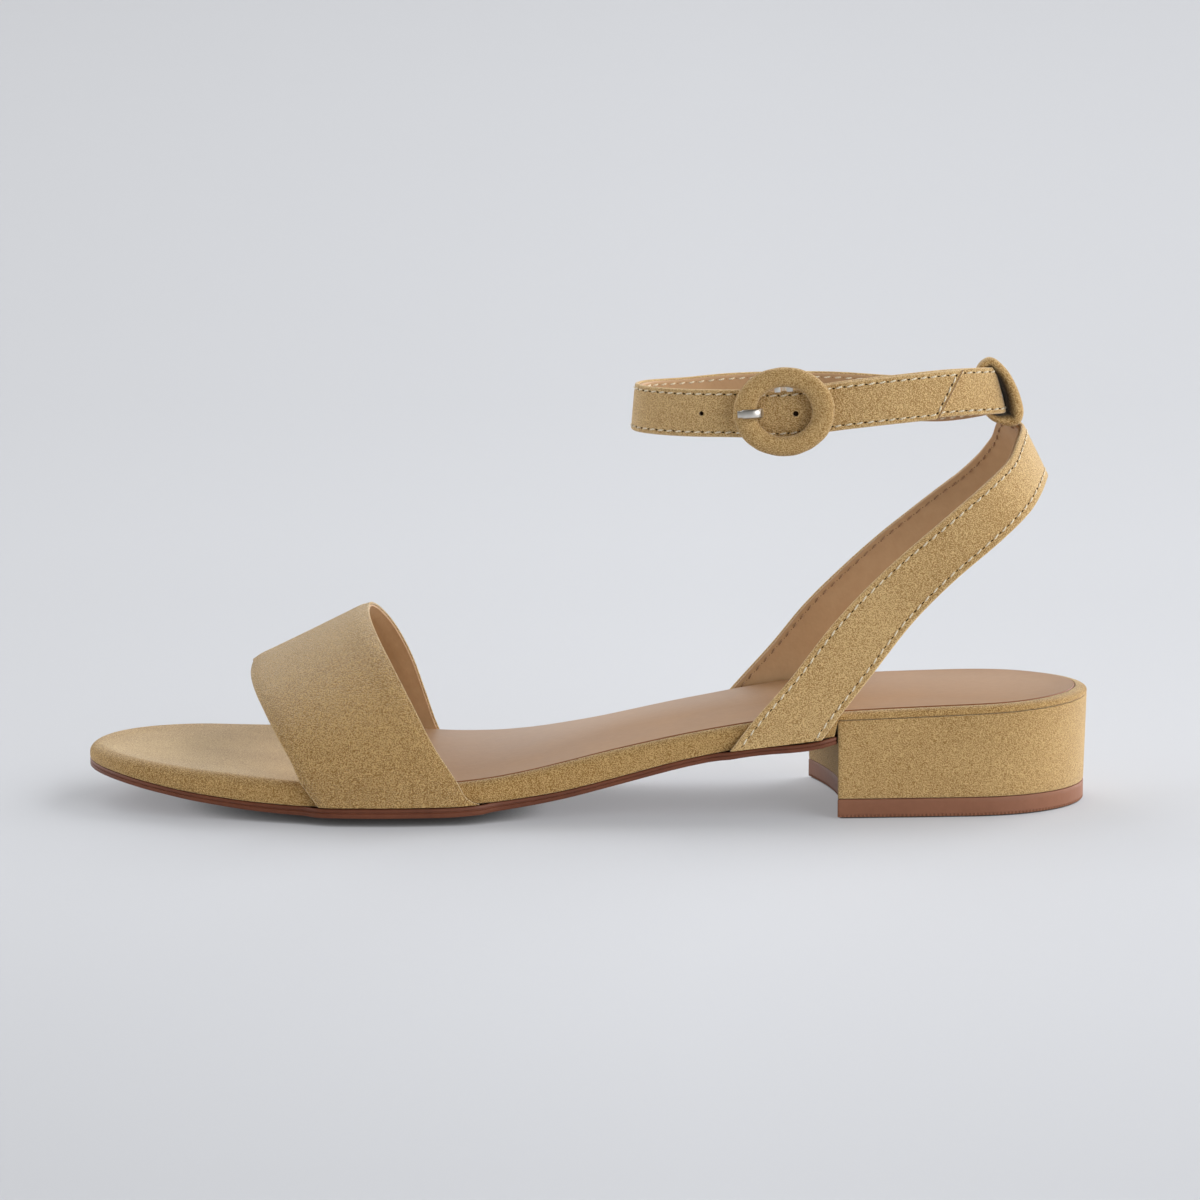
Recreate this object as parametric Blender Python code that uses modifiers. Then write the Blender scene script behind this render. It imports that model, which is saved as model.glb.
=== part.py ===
# Dress sandal for the left foot: low block heel, wide toe band, sling strap and buckled ankle strap.
# The toe points to -X, the outer side of the foot to -Y, and the sandal stands on Z = 0.
# Sizes are in millimetres. A place on the sole is given by how far it lies along from the heel's back.

import math
from collections import namedtuple

import bmesh
import bpy
import numpy as np
from mathutils import Matrix, Vector

MM = 0.001
GAP = 0.3                # clearance between neighbouring pieces
OUTER = -1               # little-toe side
INNER = 1                # big-toe side

# Sole and heel
SHOE_LENGTH = 248.4
HEEL_ROUND = 32.0        # length of the rounded end at the heel
TOE_ROUND = 30.0         # length of the rounded end at the toe
OUTSOLE_SET_BACK = 0.5   # outsole's edge behind the footbed's edge
OUTSOLE_TAPER = 10.0     # half-width under which the set-back fades, at the tip of the toe
OUTSOLE_TUCK = 2.0       # outsole pushed out where a strap is lasted under the footbed
TUCK_RAMP = 4.0
OUTSOLE_ROUND = 0.4      # rounding of the outsole's edge
OUTSOLE_ROUND_FOOT = 0.5
OUTSOLE_ROUND_TOP = 0.3
FLAT_TREAD = 0.5         # share of the half-width that lies flat under the ball
RAND_ROUND = 0.5         # rounding at the foot and the top of the suede rand
RAND_SHOULDER = 2.0      # the rand's side ends this far under the rim
RAND_LOWEST = 0.9        # height of that side where the footbed is thinnest
RIM = 1.8                # suede rim round the sock
DISH_TOE = 0.4           # hollow of the seat at the toe
DISH_HEEL = 1.0          # added to it under the heel
DISH_FROM = 100.0        # where that starts, and the length over which it grows
DISH_RUN = 60.0
SOCK_RECESS = 1.4
RECESS_SLOPE = 0.4       # width of the recess's sloped wall
RECESS_END = 1.6         # the recess ends this far past the sock
RECESS_RUN_OUT = 1.2
SOCK_THICKNESS = 1.0
SOCK_ROUND = 0.4
SOCK_FRONT = 182.0       # the sock ends under the toe band
TOP_PIECE_HEIGHT = 4.5
HEEL_TOP_FRONT = 24.0    # top of the heel block at its breast
HEEL_TOP_BACK = 26.2
HEEL_TAPER = 0.6
HEEL_ROUND_FOOT = 0.3    # rounding of the heel block's edges
HEEL_ROUND_TOP = 0.6
HEEL_CUP = 4.0           # depth of the hollow in the heel block that takes the footbed
CUP_FILL = 0.9           # share of it that the footbed fills
BREAST_ALONG = 66.0
WAIST_ALONG = 90.0
BREAST_SLANT = 0.13      # the breast runs further forward on the inner side
BREAST_HOLLOW = 4.5
BREAST_HALF = 28.0       # half-width over which the breast is hollowed
BREAST_CLEAR = 1.8       # the footbed stays on the heel block this far past the breast
BREAST_RUN_OUT = 1.2

# Middle lines that the rings of the sole's pieces close on
BED_MIDDLE = (22.0, 224.0)
SOCK_MIDDLE = (22.0, 172.0)
TREAD_MIDDLE = (76.0, 224.0)
HEEL_MIDDLE = (22.0, 46.0)
LOWER_SHARES = (0.0, FLAT_TREAD, 0.75)   # rings of the undersides, from that line outwards
SEAT_SHARES = (0.55, 0.0)                # rings of the seat and the sock, inwards
HEEL_SHARES = (0.8, 0.5, 0.0)

# Straps
STRAP_THICKNESS = 2.0
STRAP_EDGE = 0.4         # bevel on the cut edges
STRAP_STAND_OFF = GAP + 0.1 + STRAP_THICKNESS / 2    # middle of a strap's wall from what it lies on
CROWN_FRONT = 31.6       # height of the band's middle surface over the toes, at its front edge
CROWN_BACK = 46.8
CROWN_SIDE = 5.0         # the instep's ridge lies towards the inner side
ARCH_POWER = 2.3
BAND_COLUMNS = 9
BAND_TURNS = [0, 7, 15, 24, 34, 44, 54, 64, 74, 83]    # degrees round the arch, from the rim
CROWN_TURN = 90
ANKLE_HALF = 24.0        # half-width of the last at the ankle
ANKLE_REACH = 36.0       # length over which the last's back opens to that width
ANKLE_FULLNESS = 0.55    # how quickly it opens
SLING_SKEW = 0.12        # the sling's inner side lies further forward, low down
SKEW_TOP = 88.0          # height where that starts, and the drop over which it grows
SKEW_DROP = 38.0
SLING_COLUMNS = 4
SLING_STEPS = 3          # rows between two rows of the table
ANKLE_LEVEL = 60.0       # height where the last's wall has left the sole's outline
ANKLE_WIDTH = 11.6
OVERLAP = 41.0           # free end of the ankle strap past the buckle
TIP_SLANT = 8.0
TIP_LENGTH = 12.0        # length over which the strap's rows turn to that slant
LAYER_STEP = STRAP_THICKNESS + 0.35
LAYER_FROM = 44.0        # where the free end starts to leave the layer under it, before the bar
LAYER_RUN = 30.0
ANKLE_START = 0.4        # the strap's first end clears the bar by this
ANKLE_BLEND = (14.0, 10.0)               # before the bar, between the two spacings of the rows
ANKLE_COUNTS = (66, 16)
ANKLE_COLUMNS = 3
ANKLE_STEPS = 24
TANGENT_STEP = 0.6
LOOP_WIDTH = 9.0
LOOP_THICKNESS = 1.4
LOOP_TILT = 0.1          # the loop stands higher on the outer side, as the ankle strap does
LOOP_COLUMNS = 3
LOOP_STEPS = 3

# Buckle
RING_WIDTH = 24.7
RING_HEIGHT = 22.2
RING_BAND = 5.5
RING_DEPTH = 3.8
RING_SEGMENTS = (36, 10)
BAR_RADIUS = 0.8
BAR_BEND = 0.8
BAR_FOOT = 0.4           # its feet stop this far under the ring
PRONG_RADIUS = 1.0
PRONG_REACH = 11.0
HOLE_PITCH = 7.6
HOLE_FIRST = -2.6        # behind the bar; the next hole takes the prong
HOLE_COUNT = 4
PRONG_HOLE = 1
PUNCH_SPARE = 0.5
PUNCH_SIDES = 12
HOLE_RADIUS = 0.8
PRONG_HOLE_RADIUS = 1.45

# Half-widths of the footbed, height of the outsole's underside, lift of its edge, its thickness and
# the height of the rim
Section = namedtuple("Section", "along outer inner underside lift thick seat")
SECTIONS = [
    Section(0, 27.2, 25.8, 19.5, 1.0, 1.9, 28.2),
    Section(25, 27.2, 25.8, 19.2, 1.0, 1.9, 27.5),
    Section(45, 28.4, 25.8, 18.7, 1.0, 1.9, 26.9),
    Section(63, 29.5, 25.0, 17.3, 1.0, 1.9, 26.1),
    Section(72, 29.8, 23.8, 15.8, 1.0, 1.9, 25.2),
    Section(82, 30.0, 22.3, 15.0, 1.0, 1.9, 23.9),
    Section(97, 30.3, 20.6, 12.5, 1.0, 1.9, 21.4),
    Section(117, 31.3, 20.4, 7.5, 1.0, 1.9, 17.2),
    Section(130, 33.0, 23.5, 4.2, 1.2, 2.0, 14.2),
    Section(140, 34.6, 27.2, 2.2, 1.5, 2.2, 12.1),
    Section(150, 36.3, 31.5, 0.7, 1.8, 2.4, 10.6),
    Section(160, 37.8, 35.2, 0.0, 2.0, 2.5, 9.9),
    Section(175, 38.8, 38.6, 0.0, 2.0, 2.5, 9.8),
    Section(188, 38.0, 39.2, 0.0, 2.0, 2.4, 10.1),
    Section(205, 34.8, 38.0, 0.9, 1.8, 2.2, 10.9),
    Section(218, 31.0, 36.0, 2.2, 1.8, 2.0, 11.6),
    Section(230, 28.0, 33.4, 4.0, 1.6, 1.9, 12.4),
    Section(240, 27.0, 31.6, 5.7, 1.4, 1.9, 13.1),
    Section(248.4, 25.5, 30.5, 7.0, 1.0, 1.9, 13.6),
]

# Where the rows of the sole's outlines lie along it
Stations = namedtuple("Stations", "first last count")
HEEL_STATIONS = Stations(0.0, 56.0, 9)
BREAST_STATIONS = Stations(59.0, 74.0, 8)
WAIST_STATIONS = Stations(77.0, 178.0, 11)
TOE_STATIONS = Stations(187.0, SHOE_LENGTH, 13)
TREAD_BREAST_END = 73.5  # the outsole's own rows beside the breast end here
TREAD_BREAST_COUNT = 4
HEEL_SIDE_COUNT = 13
TREAD_REAR_COUNT = 7
HEEL_FRONT_COUNT = 9
SOCK_FRONT_COUNT = 5

# Front and back edges of the toe band, from its lasted edge (rise below 0) to its crown (rise 1)
BandEdge = namedtuple("BandEdge", "rise outer_front outer_back inner_front inner_back")
BAND_EDGES = [
    BandEdge(-0.25, 188.0, 150.5, 193.0, 157.0),
    BandEdge(0.0, 193.0, 155.5, 198.0, 162.0),
    BandEdge(0.25, 196.5, 161.5, 200.5, 166.5),
    BandEdge(0.5, 200.0, 166.5, 203.0, 170.5),
    BandEdge(0.75, 203.5, 172.0, 205.5, 174.5),
    BandEdge(1.0, 208.0, 178.5, 208.0, 178.5),
]

# Upper and lower edges of the sling strap seen from the side, from the sole up to the back
SlingEdge = namedtuple("SlingEdge", "upper_along upper_height lower_along lower_height")
SLING_EDGES = [
    SlingEdge(89.5, 16.5, 67.0, 20.2),
    SlingEdge(83.5, 25.0, 62.5, 26.0),
    SlingEdge(75.0, 34.5, 54.5, 36.0),
    SlingEdge(64.0, 48.0, 44.7, 48.0),
    SlingEdge(51.0, 61.3, 34.0, 58.5),
    SlingEdge(37.5, 73.4, 23.2, 67.3),
    SlingEdge(27.5, 82.0, 16.2, 73.3),
    SlingEdge(21.9, 87.4, 13.0, 77.3),
    SlingEdge(20.2, 92.6, 11.6, 79.5),
    SlingEdge(19.1, 92.6, 11.0, 80.0),
]

# Back of the last
BackCurve = namedtuple("BackCurve", "height along")
BACK_CURVE = [
    BackCurve(0.0, 0.0),
    BackCurve(25.0, 0.0),
    BackCurve(50.0, 3.0),
    BackCurve(65.0, 6.0),
    BackCurve(80.0, 11.0),
    BackCurve(92.6, 19.1),
]

# Ankle strap from the front of the ankle to the back: half-width of its path, height of its lower
# edge on the outer and the inner side, and how far the upper edge leans in
AnkleRow = namedtuple("AnkleRow", "along half outer_foot inner_foot lean")
ANKLE_ROWS = [
    AnkleRow(112.6, 0.0, 92.0, 92.0, 1.0),
    AnkleRow(109.6, 7.3, 92.1, 91.9, 1.0),
    AnkleRow(100.5, 13.8, 92.4, 91.7, 1.0),
    AnkleRow(89.0, 18.3, 93.0, 91.4, 1.0),
    AnkleRow(76.0, 21.0, 94.0, 91.0, 1.0),
    AnkleRow(62.0, 21.3, 95.2, 91.0, 1.2),
    AnkleRow(48.0, 18.8, 96.4, 91.4, 1.5),
    AnkleRow(36.0, 14.0, 97.0, 92.6, 1.9),
    AnkleRow(27.0, 8.8, 96.8, 94.4, 2.4),
    AnkleRow(22.6, 4.6, 96.5, 95.7, 2.8),
    AnkleRow(21.8, 0.0, 96.2, 96.2, 2.9),
]
BUCKLE_ROW = 4           # the buckle's bar stands at this row, on the outer side

# Middle line of the keeper loop's wall, once round from its foot
LoopRow = namedtuple("LoopRow", "along height")
LOOP_ROWS = [
    LoopRow(20.4, 94.4),
    LoopRow(18.2, 95.2),
    LoopRow(17.4, 97.6),
    LoopRow(17.9, 101.4),
    LoopRow(19.5, 105.3),
    LoopRow(22.4, 108.6),
    LoopRow(26.0, 109.0),
    LoopRow(28.6, 106.8),
    LoopRow(28.9, 102.8),
    LoopRow(27.3, 98.4),
    LoopRow(24.0, 95.1),
]

Finish = namedtuple("Finish", "colour roughness metallic")
SUEDE = Finish((0.40, 0.25, 0.12), 0.9, 0.0)
SOCK = Finish((0.32, 0.18, 0.11), 0.45, 0.0)
TREAD = Finish((0.06, 0.025, 0.015), 0.5, 0.0)
RUBBER = Finish((0.15, 0.07, 0.045), 0.6, 0.0)
STEEL = Finish((0.62, 0.62, 0.60), 0.25, 1.0)
SHARP_ANGLE = math.radians(50)


# Curves through tables

def column(rows, name):
    return np.array([getattr(row, name) for row in rows], float)


def smooth(places, values, at):
    """Monotone cubic through the given values."""
    at = np.clip(np.asarray(at, float), places[0], places[-1])
    steps = np.diff(places)
    slopes = np.diff(values) / steps
    same_way = slopes[:-1] * slopes[1:] > 0
    total = np.where(same_way, slopes[:-1] + slopes[1:], 1.0)
    tangents = np.empty(len(values))
    tangents[1:-1] = np.where(same_way, 2 * slopes[:-1] * slopes[1:] / total, 0.0)
    tangents[0] = slopes[0]
    tangents[-1] = slopes[-1]
    i = np.clip(np.searchsorted(places, at) - 1, 0, len(steps) - 1)
    t = (at - places[i]) / steps[i]
    rise = values[i] * (1 + 2 * t) * (1 - t) ** 2 + values[i + 1] * t * t * (3 - 2 * t)
    lean = tangents[i] * t * (1 - t) ** 2 + tangents[i + 1] * t * t * (t - 1)
    return rise + lean * steps[i]


def section(name, along):
    return smooth(column(SECTIONS, "along"), column(SECTIONS, name), along)


def ease(t):
    t = np.clip(t, 0.0, 1.0)
    return t * t * (3 - 2 * t)


def spline(points, per_span, closed=False):
    """Points of a Catmull-Rom curve through the given points."""
    points = np.asarray(points, float)
    count = len(points)
    spans = count if closed else count - 1
    out = []
    for i in range(spans):
        if closed:
            a, b, c, d = (points[(i + k) % count] for k in (-1, 0, 1, 2))
        else:
            b, c = points[i], points[i + 1]
            a = points[i - 1] if i > 0 else 2 * b - c
            d = points[i + 2] if i + 2 < count else 2 * c - b
        for t in np.arange(per_span) / per_span:
            straight = (c - a) * t + (2 * a - 5 * b + 4 * c - d) * t * t
            out.append(b + 0.5 * (straight + (3 * b - a - 3 * c + d) * t ** 3))
    out.append(points[0] if closed else points[-1])
    return np.array(out)


def lengths(points):
    steps = np.linalg.norm(np.diff(points, axis=0), axis=1)
    return np.concatenate([[0.0], np.cumsum(steps)])


def at_length(points, run, where):
    return np.stack([np.interp(where, run, points[:, k]) for k in range(points.shape[1])], axis=-1)


# Shape of the sole

def half_width(along, side):
    """Half-width of the footbed on one side, closed to a round at both ends."""
    straight = section("outer" if side == OUTER else "inner", along)
    heel = np.clip((HEEL_ROUND - along) / HEEL_ROUND, 0.0, 1.0)
    toe = np.clip((along - SHOE_LENGTH + TOE_ROUND) / TOE_ROUND, 0.0, 1.0)
    return straight * np.sqrt(1 - heel ** 2) * np.sqrt(1 - toe ** 2)


def tucked_between(along, first, last):
    """1 where a strap's end lies under the footbed, fading out past both its edges."""
    return ease((along - first + TUCK_RAMP) / TUCK_RAMP) * ease((last + TUCK_RAMP - along) / TUCK_RAMP)


def outsole_half(along, side):
    """Half-width of the outsole, pushed out under the ends of the band and of the sling."""
    band = BAND_EDGES[0]
    front = band.outer_front if side == OUTER else band.inner_front
    back = band.outer_back if side == OUTER else band.inner_back
    sling = SLING_EDGES[0]
    tucked = tucked_between(along, back, front) + tucked_between(along, sling.lower_along, sling.upper_along)
    free = half_width(along, side)
    return free - OUTSOLE_SET_BACK * np.clip(free / OUTSOLE_TAPER, 0, 1) + OUTSOLE_TUCK * tucked


def breast(across):
    """Where the heel's breast lies along the sole."""
    hollow = BREAST_HOLLOW * (1 - (across / BREAST_HALF) ** 2)
    return BREAST_ALONG + BREAST_SLANT * across - hollow


def breast_at_edge(side, half):
    """Where the breast meets an outline given by its half-width."""
    along = BREAST_ALONG
    for _ in range(12):
        along = breast(side * half(along, side))
    return float(along)


def heel_top(along):
    return HEEL_TOP_BACK + (HEEL_TOP_FRONT - HEEL_TOP_BACK) * along / BREAST_ALONG


def cup(along, across):
    """Depth of the hollow that the footbed's rounded heel sits in."""
    side = np.where(across < 0, section("outer", along), section("inner", along))
    round_end = np.clip((HEEL_ROUND - along) / HEEL_ROUND, 0.0, 1.0)
    return HEEL_CUP * np.clip(1 - (across / side) ** 2 - round_end ** 2, 0.0, 1.0)


def side_share(points, share):
    """Share of the outsole's half-width; behind the waist it is measured straight across."""
    along, across = points[:, 0], points[:, 1]
    outer = outsole_half(along, OUTER)
    inner = outsole_half(along, INNER)
    straight = np.abs(across - (inner - outer) / 2) / ((inner + outer) / 2)
    return np.where(along < WAIST_ALONG, np.clip(straight, 0.0, 1.0), share)


def tread(along, share):
    """Underside of the outsole at a share of its half-width."""
    curl = np.clip((share - FLAT_TREAD) / (1 - FLAT_TREAD), 0.0, 1.0) ** 2
    return section("underside", along) + section("lift", along) * curl


def tread_top(along, share):
    return tread(along, share) + section("thick", along)


def bed_underside(along, across, share):
    """The footbed rests on the outsole, and behind the breast on the heel block."""
    on_outsole = tread_top(along, share) + GAP
    past = np.clip((along - breast(across) - BREAST_CLEAR) / BREAST_RUN_OUT, 0.0, 1.0)
    on_heel = heel_top(along) + GAP - cup(along, across) * CUP_FILL
    return on_heel * (1 - past) + on_outsole * past


def dish(along, share):
    """The seat is cupped under the heel and nearly flat under the toes."""
    return (DISH_TOE + DISH_HEEL * ease((DISH_FROM - along) / DISH_RUN)) * (1 - share ** 2)


def sock_bed(along):
    return SOCK_RECESS * np.clip((SOCK_FRONT + RECESS_END - along) / RECESS_RUN_OUT, 0.0, 1.0)


# Closed outlines in plan, with the middle line that each point answers to

def bunched(first, last, count, end):
    """Places that crowd together towards one end."""
    t = np.linspace(0.0, 1.0, count)
    t = 1 - np.cos(t * math.pi / 2) if end == "first" else np.sin(t * math.pi / 2)
    return first + (last - first) * t


def outline(outer_along, inner_along, half, ends, rear_cut=None, front_cut=None):
    """Outer side to the toe, back along the inner side, with points along any cut end."""
    outer = np.stack([outer_along, -half(outer_along, OUTER)], axis=1)
    inner = np.stack([inner_along, half(inner_along, INNER)], axis=1)
    middle_along = np.clip((outer_along + inner_along) / 2, *ends)
    middle = np.stack([middle_along, (half(middle_along, INNER) - half(middle_along, OUTER)) / 2], axis=1)
    points = [outer]
    spine = [middle]
    if front_cut is not None:
        points.append(front_cut)
        spine.append(np.repeat(middle[-1:], len(front_cut), axis=0))
    points.append(inner[::-1])
    spine.append(middle[::-1])
    if rear_cut is not None:
        points.append(rear_cut)
        spine.append(np.repeat(middle[:1], len(rear_cut), axis=0))
    points = np.concatenate(points)
    spine = np.concatenate(spine)
    apart = np.linalg.norm(points - np.roll(points, 1, axis=0), axis=1) > 1e-6
    return points[apart], spine[apart]


def inset(points, distance):
    """The outline moved inwards."""
    ahead = np.roll(points, -1, axis=0) - points
    behind = points - np.roll(points, 1, axis=0)
    ahead = ahead / np.linalg.norm(ahead, axis=1, keepdims=True)
    behind = behind / np.linalg.norm(behind, axis=1, keepdims=True)
    turn = ahead + behind
    spread = np.linalg.norm(turn, axis=1, keepdims=True)
    normal = np.stack([-turn[:, 1], turn[:, 0]], axis=1) / spread
    return points + normal * distance / np.clip(spread / 2, 0.6, 1.0)


def lifted(points, height):
    return np.column_stack([points, np.broadcast_to(height, len(points))])


def heel_stations():
    return np.concatenate([bunched(*HEEL_STATIONS, "first"), np.linspace(*BREAST_STATIONS)])


def waist_stations():
    return np.linspace(*WAIST_STATIONS)


def toe_stations():
    recess_end = SOCK_FRONT + RECESS_END
    return np.concatenate([[recess_end - RECESS_RUN_OUT, recess_end], bunched(*TOE_STATIONS, "last")])


def breast_line(first, last, count, shift):
    across = np.linspace(first, last, count + 2)[1:-1]
    return np.stack([breast(across) + shift, across], axis=1)


# Meshes

def place(points):
    points = np.asarray(points, float)
    out = np.empty_like(points)
    out[..., 0] = (SHOE_LENGTH / 2 - points[..., 0]) * MM
    out[..., 1] = points[..., 1] * MM
    out[..., 2] = points[..., 2] * MM
    return out


def shade_round(mesh):
    mesh.shade_smooth()
    mesh.set_sharp_from_angle(angle=SHARP_ANGLE)


def new_object(name, mesh, collection, material):
    part = bpy.data.objects.new(name, mesh)
    collection.objects.link(part)
    if material is not None:
        mesh.materials.append(material)
    return part


def loft(name, loops, collection, material):
    """Skin over closed loops. An end loop folded onto its middle line is welded shut, an open one capped."""
    shape = bmesh.new()
    rings = [[shape.verts.new(p) for p in place(loop)] for loop in loops]
    count = len(rings[0])
    for low, high in zip(rings, rings[1:]):
        for i in range(count):
            j = (i + 1) % count
            shape.faces.new((low[i], low[j], high[j], high[i]))
    for ring, loop in ((rings[0], loops[0]), (rings[-1], loops[-1])):
        if len(np.unique(np.round(loop[:, :2], 4), axis=0)) == count:
            shape.faces.new(ring)
    bmesh.ops.remove_doubles(shape, verts=shape.verts, dist=1e-6)
    bmesh.ops.dissolve_degenerate(shape, edges=shape.edges, dist=1e-6)
    bmesh.ops.recalc_face_normals(shape, faces=shape.faces)
    mesh = bpy.data.meshes.new(name)
    shape.to_mesh(mesh)
    shape.free()
    shade_round(mesh)
    return new_object(name, mesh, collection, material)


def sheet(name, rows, thickness, collection, material, closed=False):
    """Open surface over rows of points, given its wall by Solidify and soft edges by Bevel."""
    rows = place(rows)
    count, width = rows.shape[:2]
    shape = bmesh.new()
    grid = [[shape.verts.new(p) for p in row] for row in rows]
    for i in range(count if closed else count - 1):
        here, ahead = grid[i], grid[(i + 1) % count]
        for k in range(width - 1):
            shape.faces.new((here[k], here[k + 1], ahead[k + 1], ahead[k]))
    mesh = bpy.data.meshes.new(name)
    shape.to_mesh(mesh)
    shape.free()
    shade_round(mesh)
    part = new_object(name, mesh, collection, material)
    wall = part.modifiers.new("wall", "SOLIDIFY")
    wall.thickness = thickness * MM
    wall.offset = 0.0
    wall.use_even_offset = True
    edge = part.modifiers.new("edge", "BEVEL")
    edge.width = STRAP_EDGE * MM
    edge.segments = 1
    edge.limit_method = "ANGLE"
    edge.angle_limit = SHARP_ANGLE
    return part


def wire(name, points, radius, collection, material):
    """Round bar along a line, with closed ends."""
    curve = bpy.data.curves.new(name, "CURVE")
    curve.dimensions = "3D"
    curve.bevel_depth = radius * MM
    curve.bevel_resolution = 2
    curve.use_fill_caps = True
    line = curve.splines.new("POLY")
    line.points.add(len(points) - 1)
    for vertex, point in zip(line.points, points):
        vertex.co = (*point, 1.0)
    return new_object(name, curve, collection, material)


def make_material(name, finish):
    material = bpy.data.materials.new(name)
    material.use_nodes = True
    shader = material.node_tree.nodes["Principled BSDF"]
    shader.inputs["Base Color"].default_value = (*finish.colour, 1.0)
    shader.inputs["Roughness"].default_value = finish.roughness
    shader.inputs["Metallic"].default_value = finish.metallic
    return material


# Sole pieces

def build_outsole(collection, material):
    outer_start = breast_at_edge(OUTER, outsole_half) + GAP
    inner_start = breast_at_edge(INNER, outsole_half) + GAP
    fore = np.concatenate([waist_stations(), toe_stations()])
    outer_along = np.concatenate([np.linspace(outer_start, TREAD_BREAST_END, TREAD_BREAST_COUNT), fore])
    inner_along = np.concatenate([np.linspace(inner_start, TREAD_BREAST_END, TREAD_BREAST_COUNT), fore])
    first = outsole_half(inner_start, INNER)
    last = -outsole_half(outer_start, OUTER)
    rear = breast_line(first, last, TREAD_REAR_COUNT, GAP)
    points, spine = outline(outer_along, inner_along, outsole_half, TREAD_MIDDLE, rear_cut=rear)
    loops = []
    for share in LOWER_SHARES:
        ring = spine + (points - spine) * share
        loops.append(lifted(ring, tread(ring[:, 0], side_share(ring, share))))
    ring = inset(points, OUTSOLE_ROUND)
    edge = tread(points[:, 0], side_share(points, 1.0))
    loops.append(lifted(ring, edge))
    loops.append(lifted(points, edge + OUTSOLE_ROUND_FOOT))
    top = tread_top(points[:, 0], side_share(points, 1.0))
    loops.append(lifted(points, top - OUTSOLE_ROUND_TOP))
    loops.append(lifted(ring, top))
    for share in reversed(LOWER_SHARES):
        ring = spine + (points - spine) * share
        loops.append(lifted(ring, tread_top(ring[:, 0], side_share(ring, share))))
    return loft("outsole", loops, collection, material)


def build_footbed(collection, material):
    along = np.concatenate([heel_stations(), waist_stations(), toe_stations()])
    points, spine = outline(along, along, half_width, BED_MIDDLE)
    loops = []
    for share in LOWER_SHARES:
        ring = spine + (points - spine) * share
        loops.append(lifted(ring, bed_underside(ring[:, 0], ring[:, 1], share)))
    foot = bed_underside(points[:, 0], points[:, 1], 1.0)
    seat = section("seat", points[:, 0])
    loops.append(lifted(inset(points, RAND_ROUND), foot))
    loops.append(lifted(points, foot + RAND_ROUND))
    loops.append(lifted(points, np.maximum(seat - RAND_SHOULDER, foot + RAND_LOWEST)))
    loops.append(lifted(inset(points, RAND_ROUND), seat - RAND_ROUND))
    loops.append(lifted(inset(points, RIM), seat))
    ring = inset(points, RIM + RECESS_SLOPE)
    loops.append(lifted(ring, seat - sock_bed(points[:, 0])))
    for share in SEAT_SHARES:
        ring = spine + (points - spine) * share
        here = ring[:, 0]
        loops.append(lifted(ring, section("seat", here) - sock_bed(here) - dish(here, share)))
    return loft("footbed", loops, collection, material)


def build_insole(collection, material):
    along = np.concatenate([heel_stations(), waist_stations(), [SOCK_FRONT]])
    edge = half_width(SOCK_FRONT, OUTER), half_width(SOCK_FRONT, INNER)
    across = np.linspace(-edge[0], edge[1], SOCK_FRONT_COUNT + 2)[1:-1]
    front = np.stack([np.full(len(across), SOCK_FRONT), across], axis=1)
    points, spine = outline(along, along, half_width, SOCK_MIDDLE, front_cut=front)
    edge_inset = RIM + RECESS_SLOPE + GAP
    edge_ring = inset(points, edge_inset)
    foot = SOCK_RECESS - GAP
    top = foot - SOCK_THICKNESS
    loops = []
    for share in reversed(SEAT_SHARES):
        ring = spine + (points - spine) * share
        loops.append(lifted(ring, section("seat", ring[:, 0]) - foot - dish(ring[:, 0], share)))
    seat = section("seat", edge_ring[:, 0])
    loops.append(lifted(edge_ring, seat - foot))
    loops.append(lifted(edge_ring, seat - top - SOCK_ROUND))
    loops.append(lifted(inset(points, edge_inset + SOCK_ROUND), seat - top))
    for share in SEAT_SHARES:
        ring = spine + (points - spine) * share
        loops.append(lifted(ring, section("seat", ring[:, 0]) - top - dish(ring[:, 0], share)))
    return loft("insole", loops, collection, material)


def heel_outline():
    outer_along = bunched(0.0, breast_at_edge(OUTER, half_width), HEEL_SIDE_COUNT, "first")
    inner_along = bunched(0.0, breast_at_edge(INNER, half_width), HEEL_SIDE_COUNT, "first")
    first = -half_width(outer_along[-1], OUTER)
    last = half_width(inner_along[-1], INNER)
    front = breast_line(first, last, HEEL_FRONT_COUNT, 0.0)
    return outline(outer_along, inner_along, half_width, HEEL_MIDDLE, front_cut=front)


def build_heel_block(collection, material):
    points, spine = heel_outline()
    foot = TOP_PIECE_HEIGHT + GAP
    loops = [
        lifted(inset(points, HEEL_TAPER + HEEL_ROUND_FOOT), foot),
        lifted(inset(points, HEEL_TAPER), foot + HEEL_ROUND_FOOT),
        lifted(points, heel_top(points[:, 0]) - cup(points[:, 0], points[:, 1]) - HEEL_ROUND_TOP),
    ]
    ring = inset(points, HEEL_ROUND_TOP)
    loops.append(lifted(ring, heel_top(ring[:, 0]) - cup(points[:, 0], points[:, 1])))
    for share in HEEL_SHARES:
        ring = spine + (points - spine) * share
        loops.append(lifted(ring, heel_top(ring[:, 0]) - cup(ring[:, 0], ring[:, 1])))
    return loft("heel_block", loops, collection, material)


def build_top_piece(collection, material):
    curve = bpy.data.curves.new("top_piece", "CURVE")
    curve.dimensions = "2D"
    curve.fill_mode = "BOTH"
    curve.extrude = TOP_PIECE_HEIGHT / 2 * MM
    points = place(lifted(inset(heel_outline()[0], HEEL_TAPER), 0.0))
    rim = curve.splines.new("POLY")
    rim.use_cyclic_u = True
    rim.points.add(len(points) - 1)
    for vertex, point in zip(rim.points, points):
        vertex.co = (*point, 1.0)
    part = new_object("top_piece", curve, collection, material)
    part.location.z = TOP_PIECE_HEIGHT / 2 * MM
    return part


# Toe band

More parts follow.
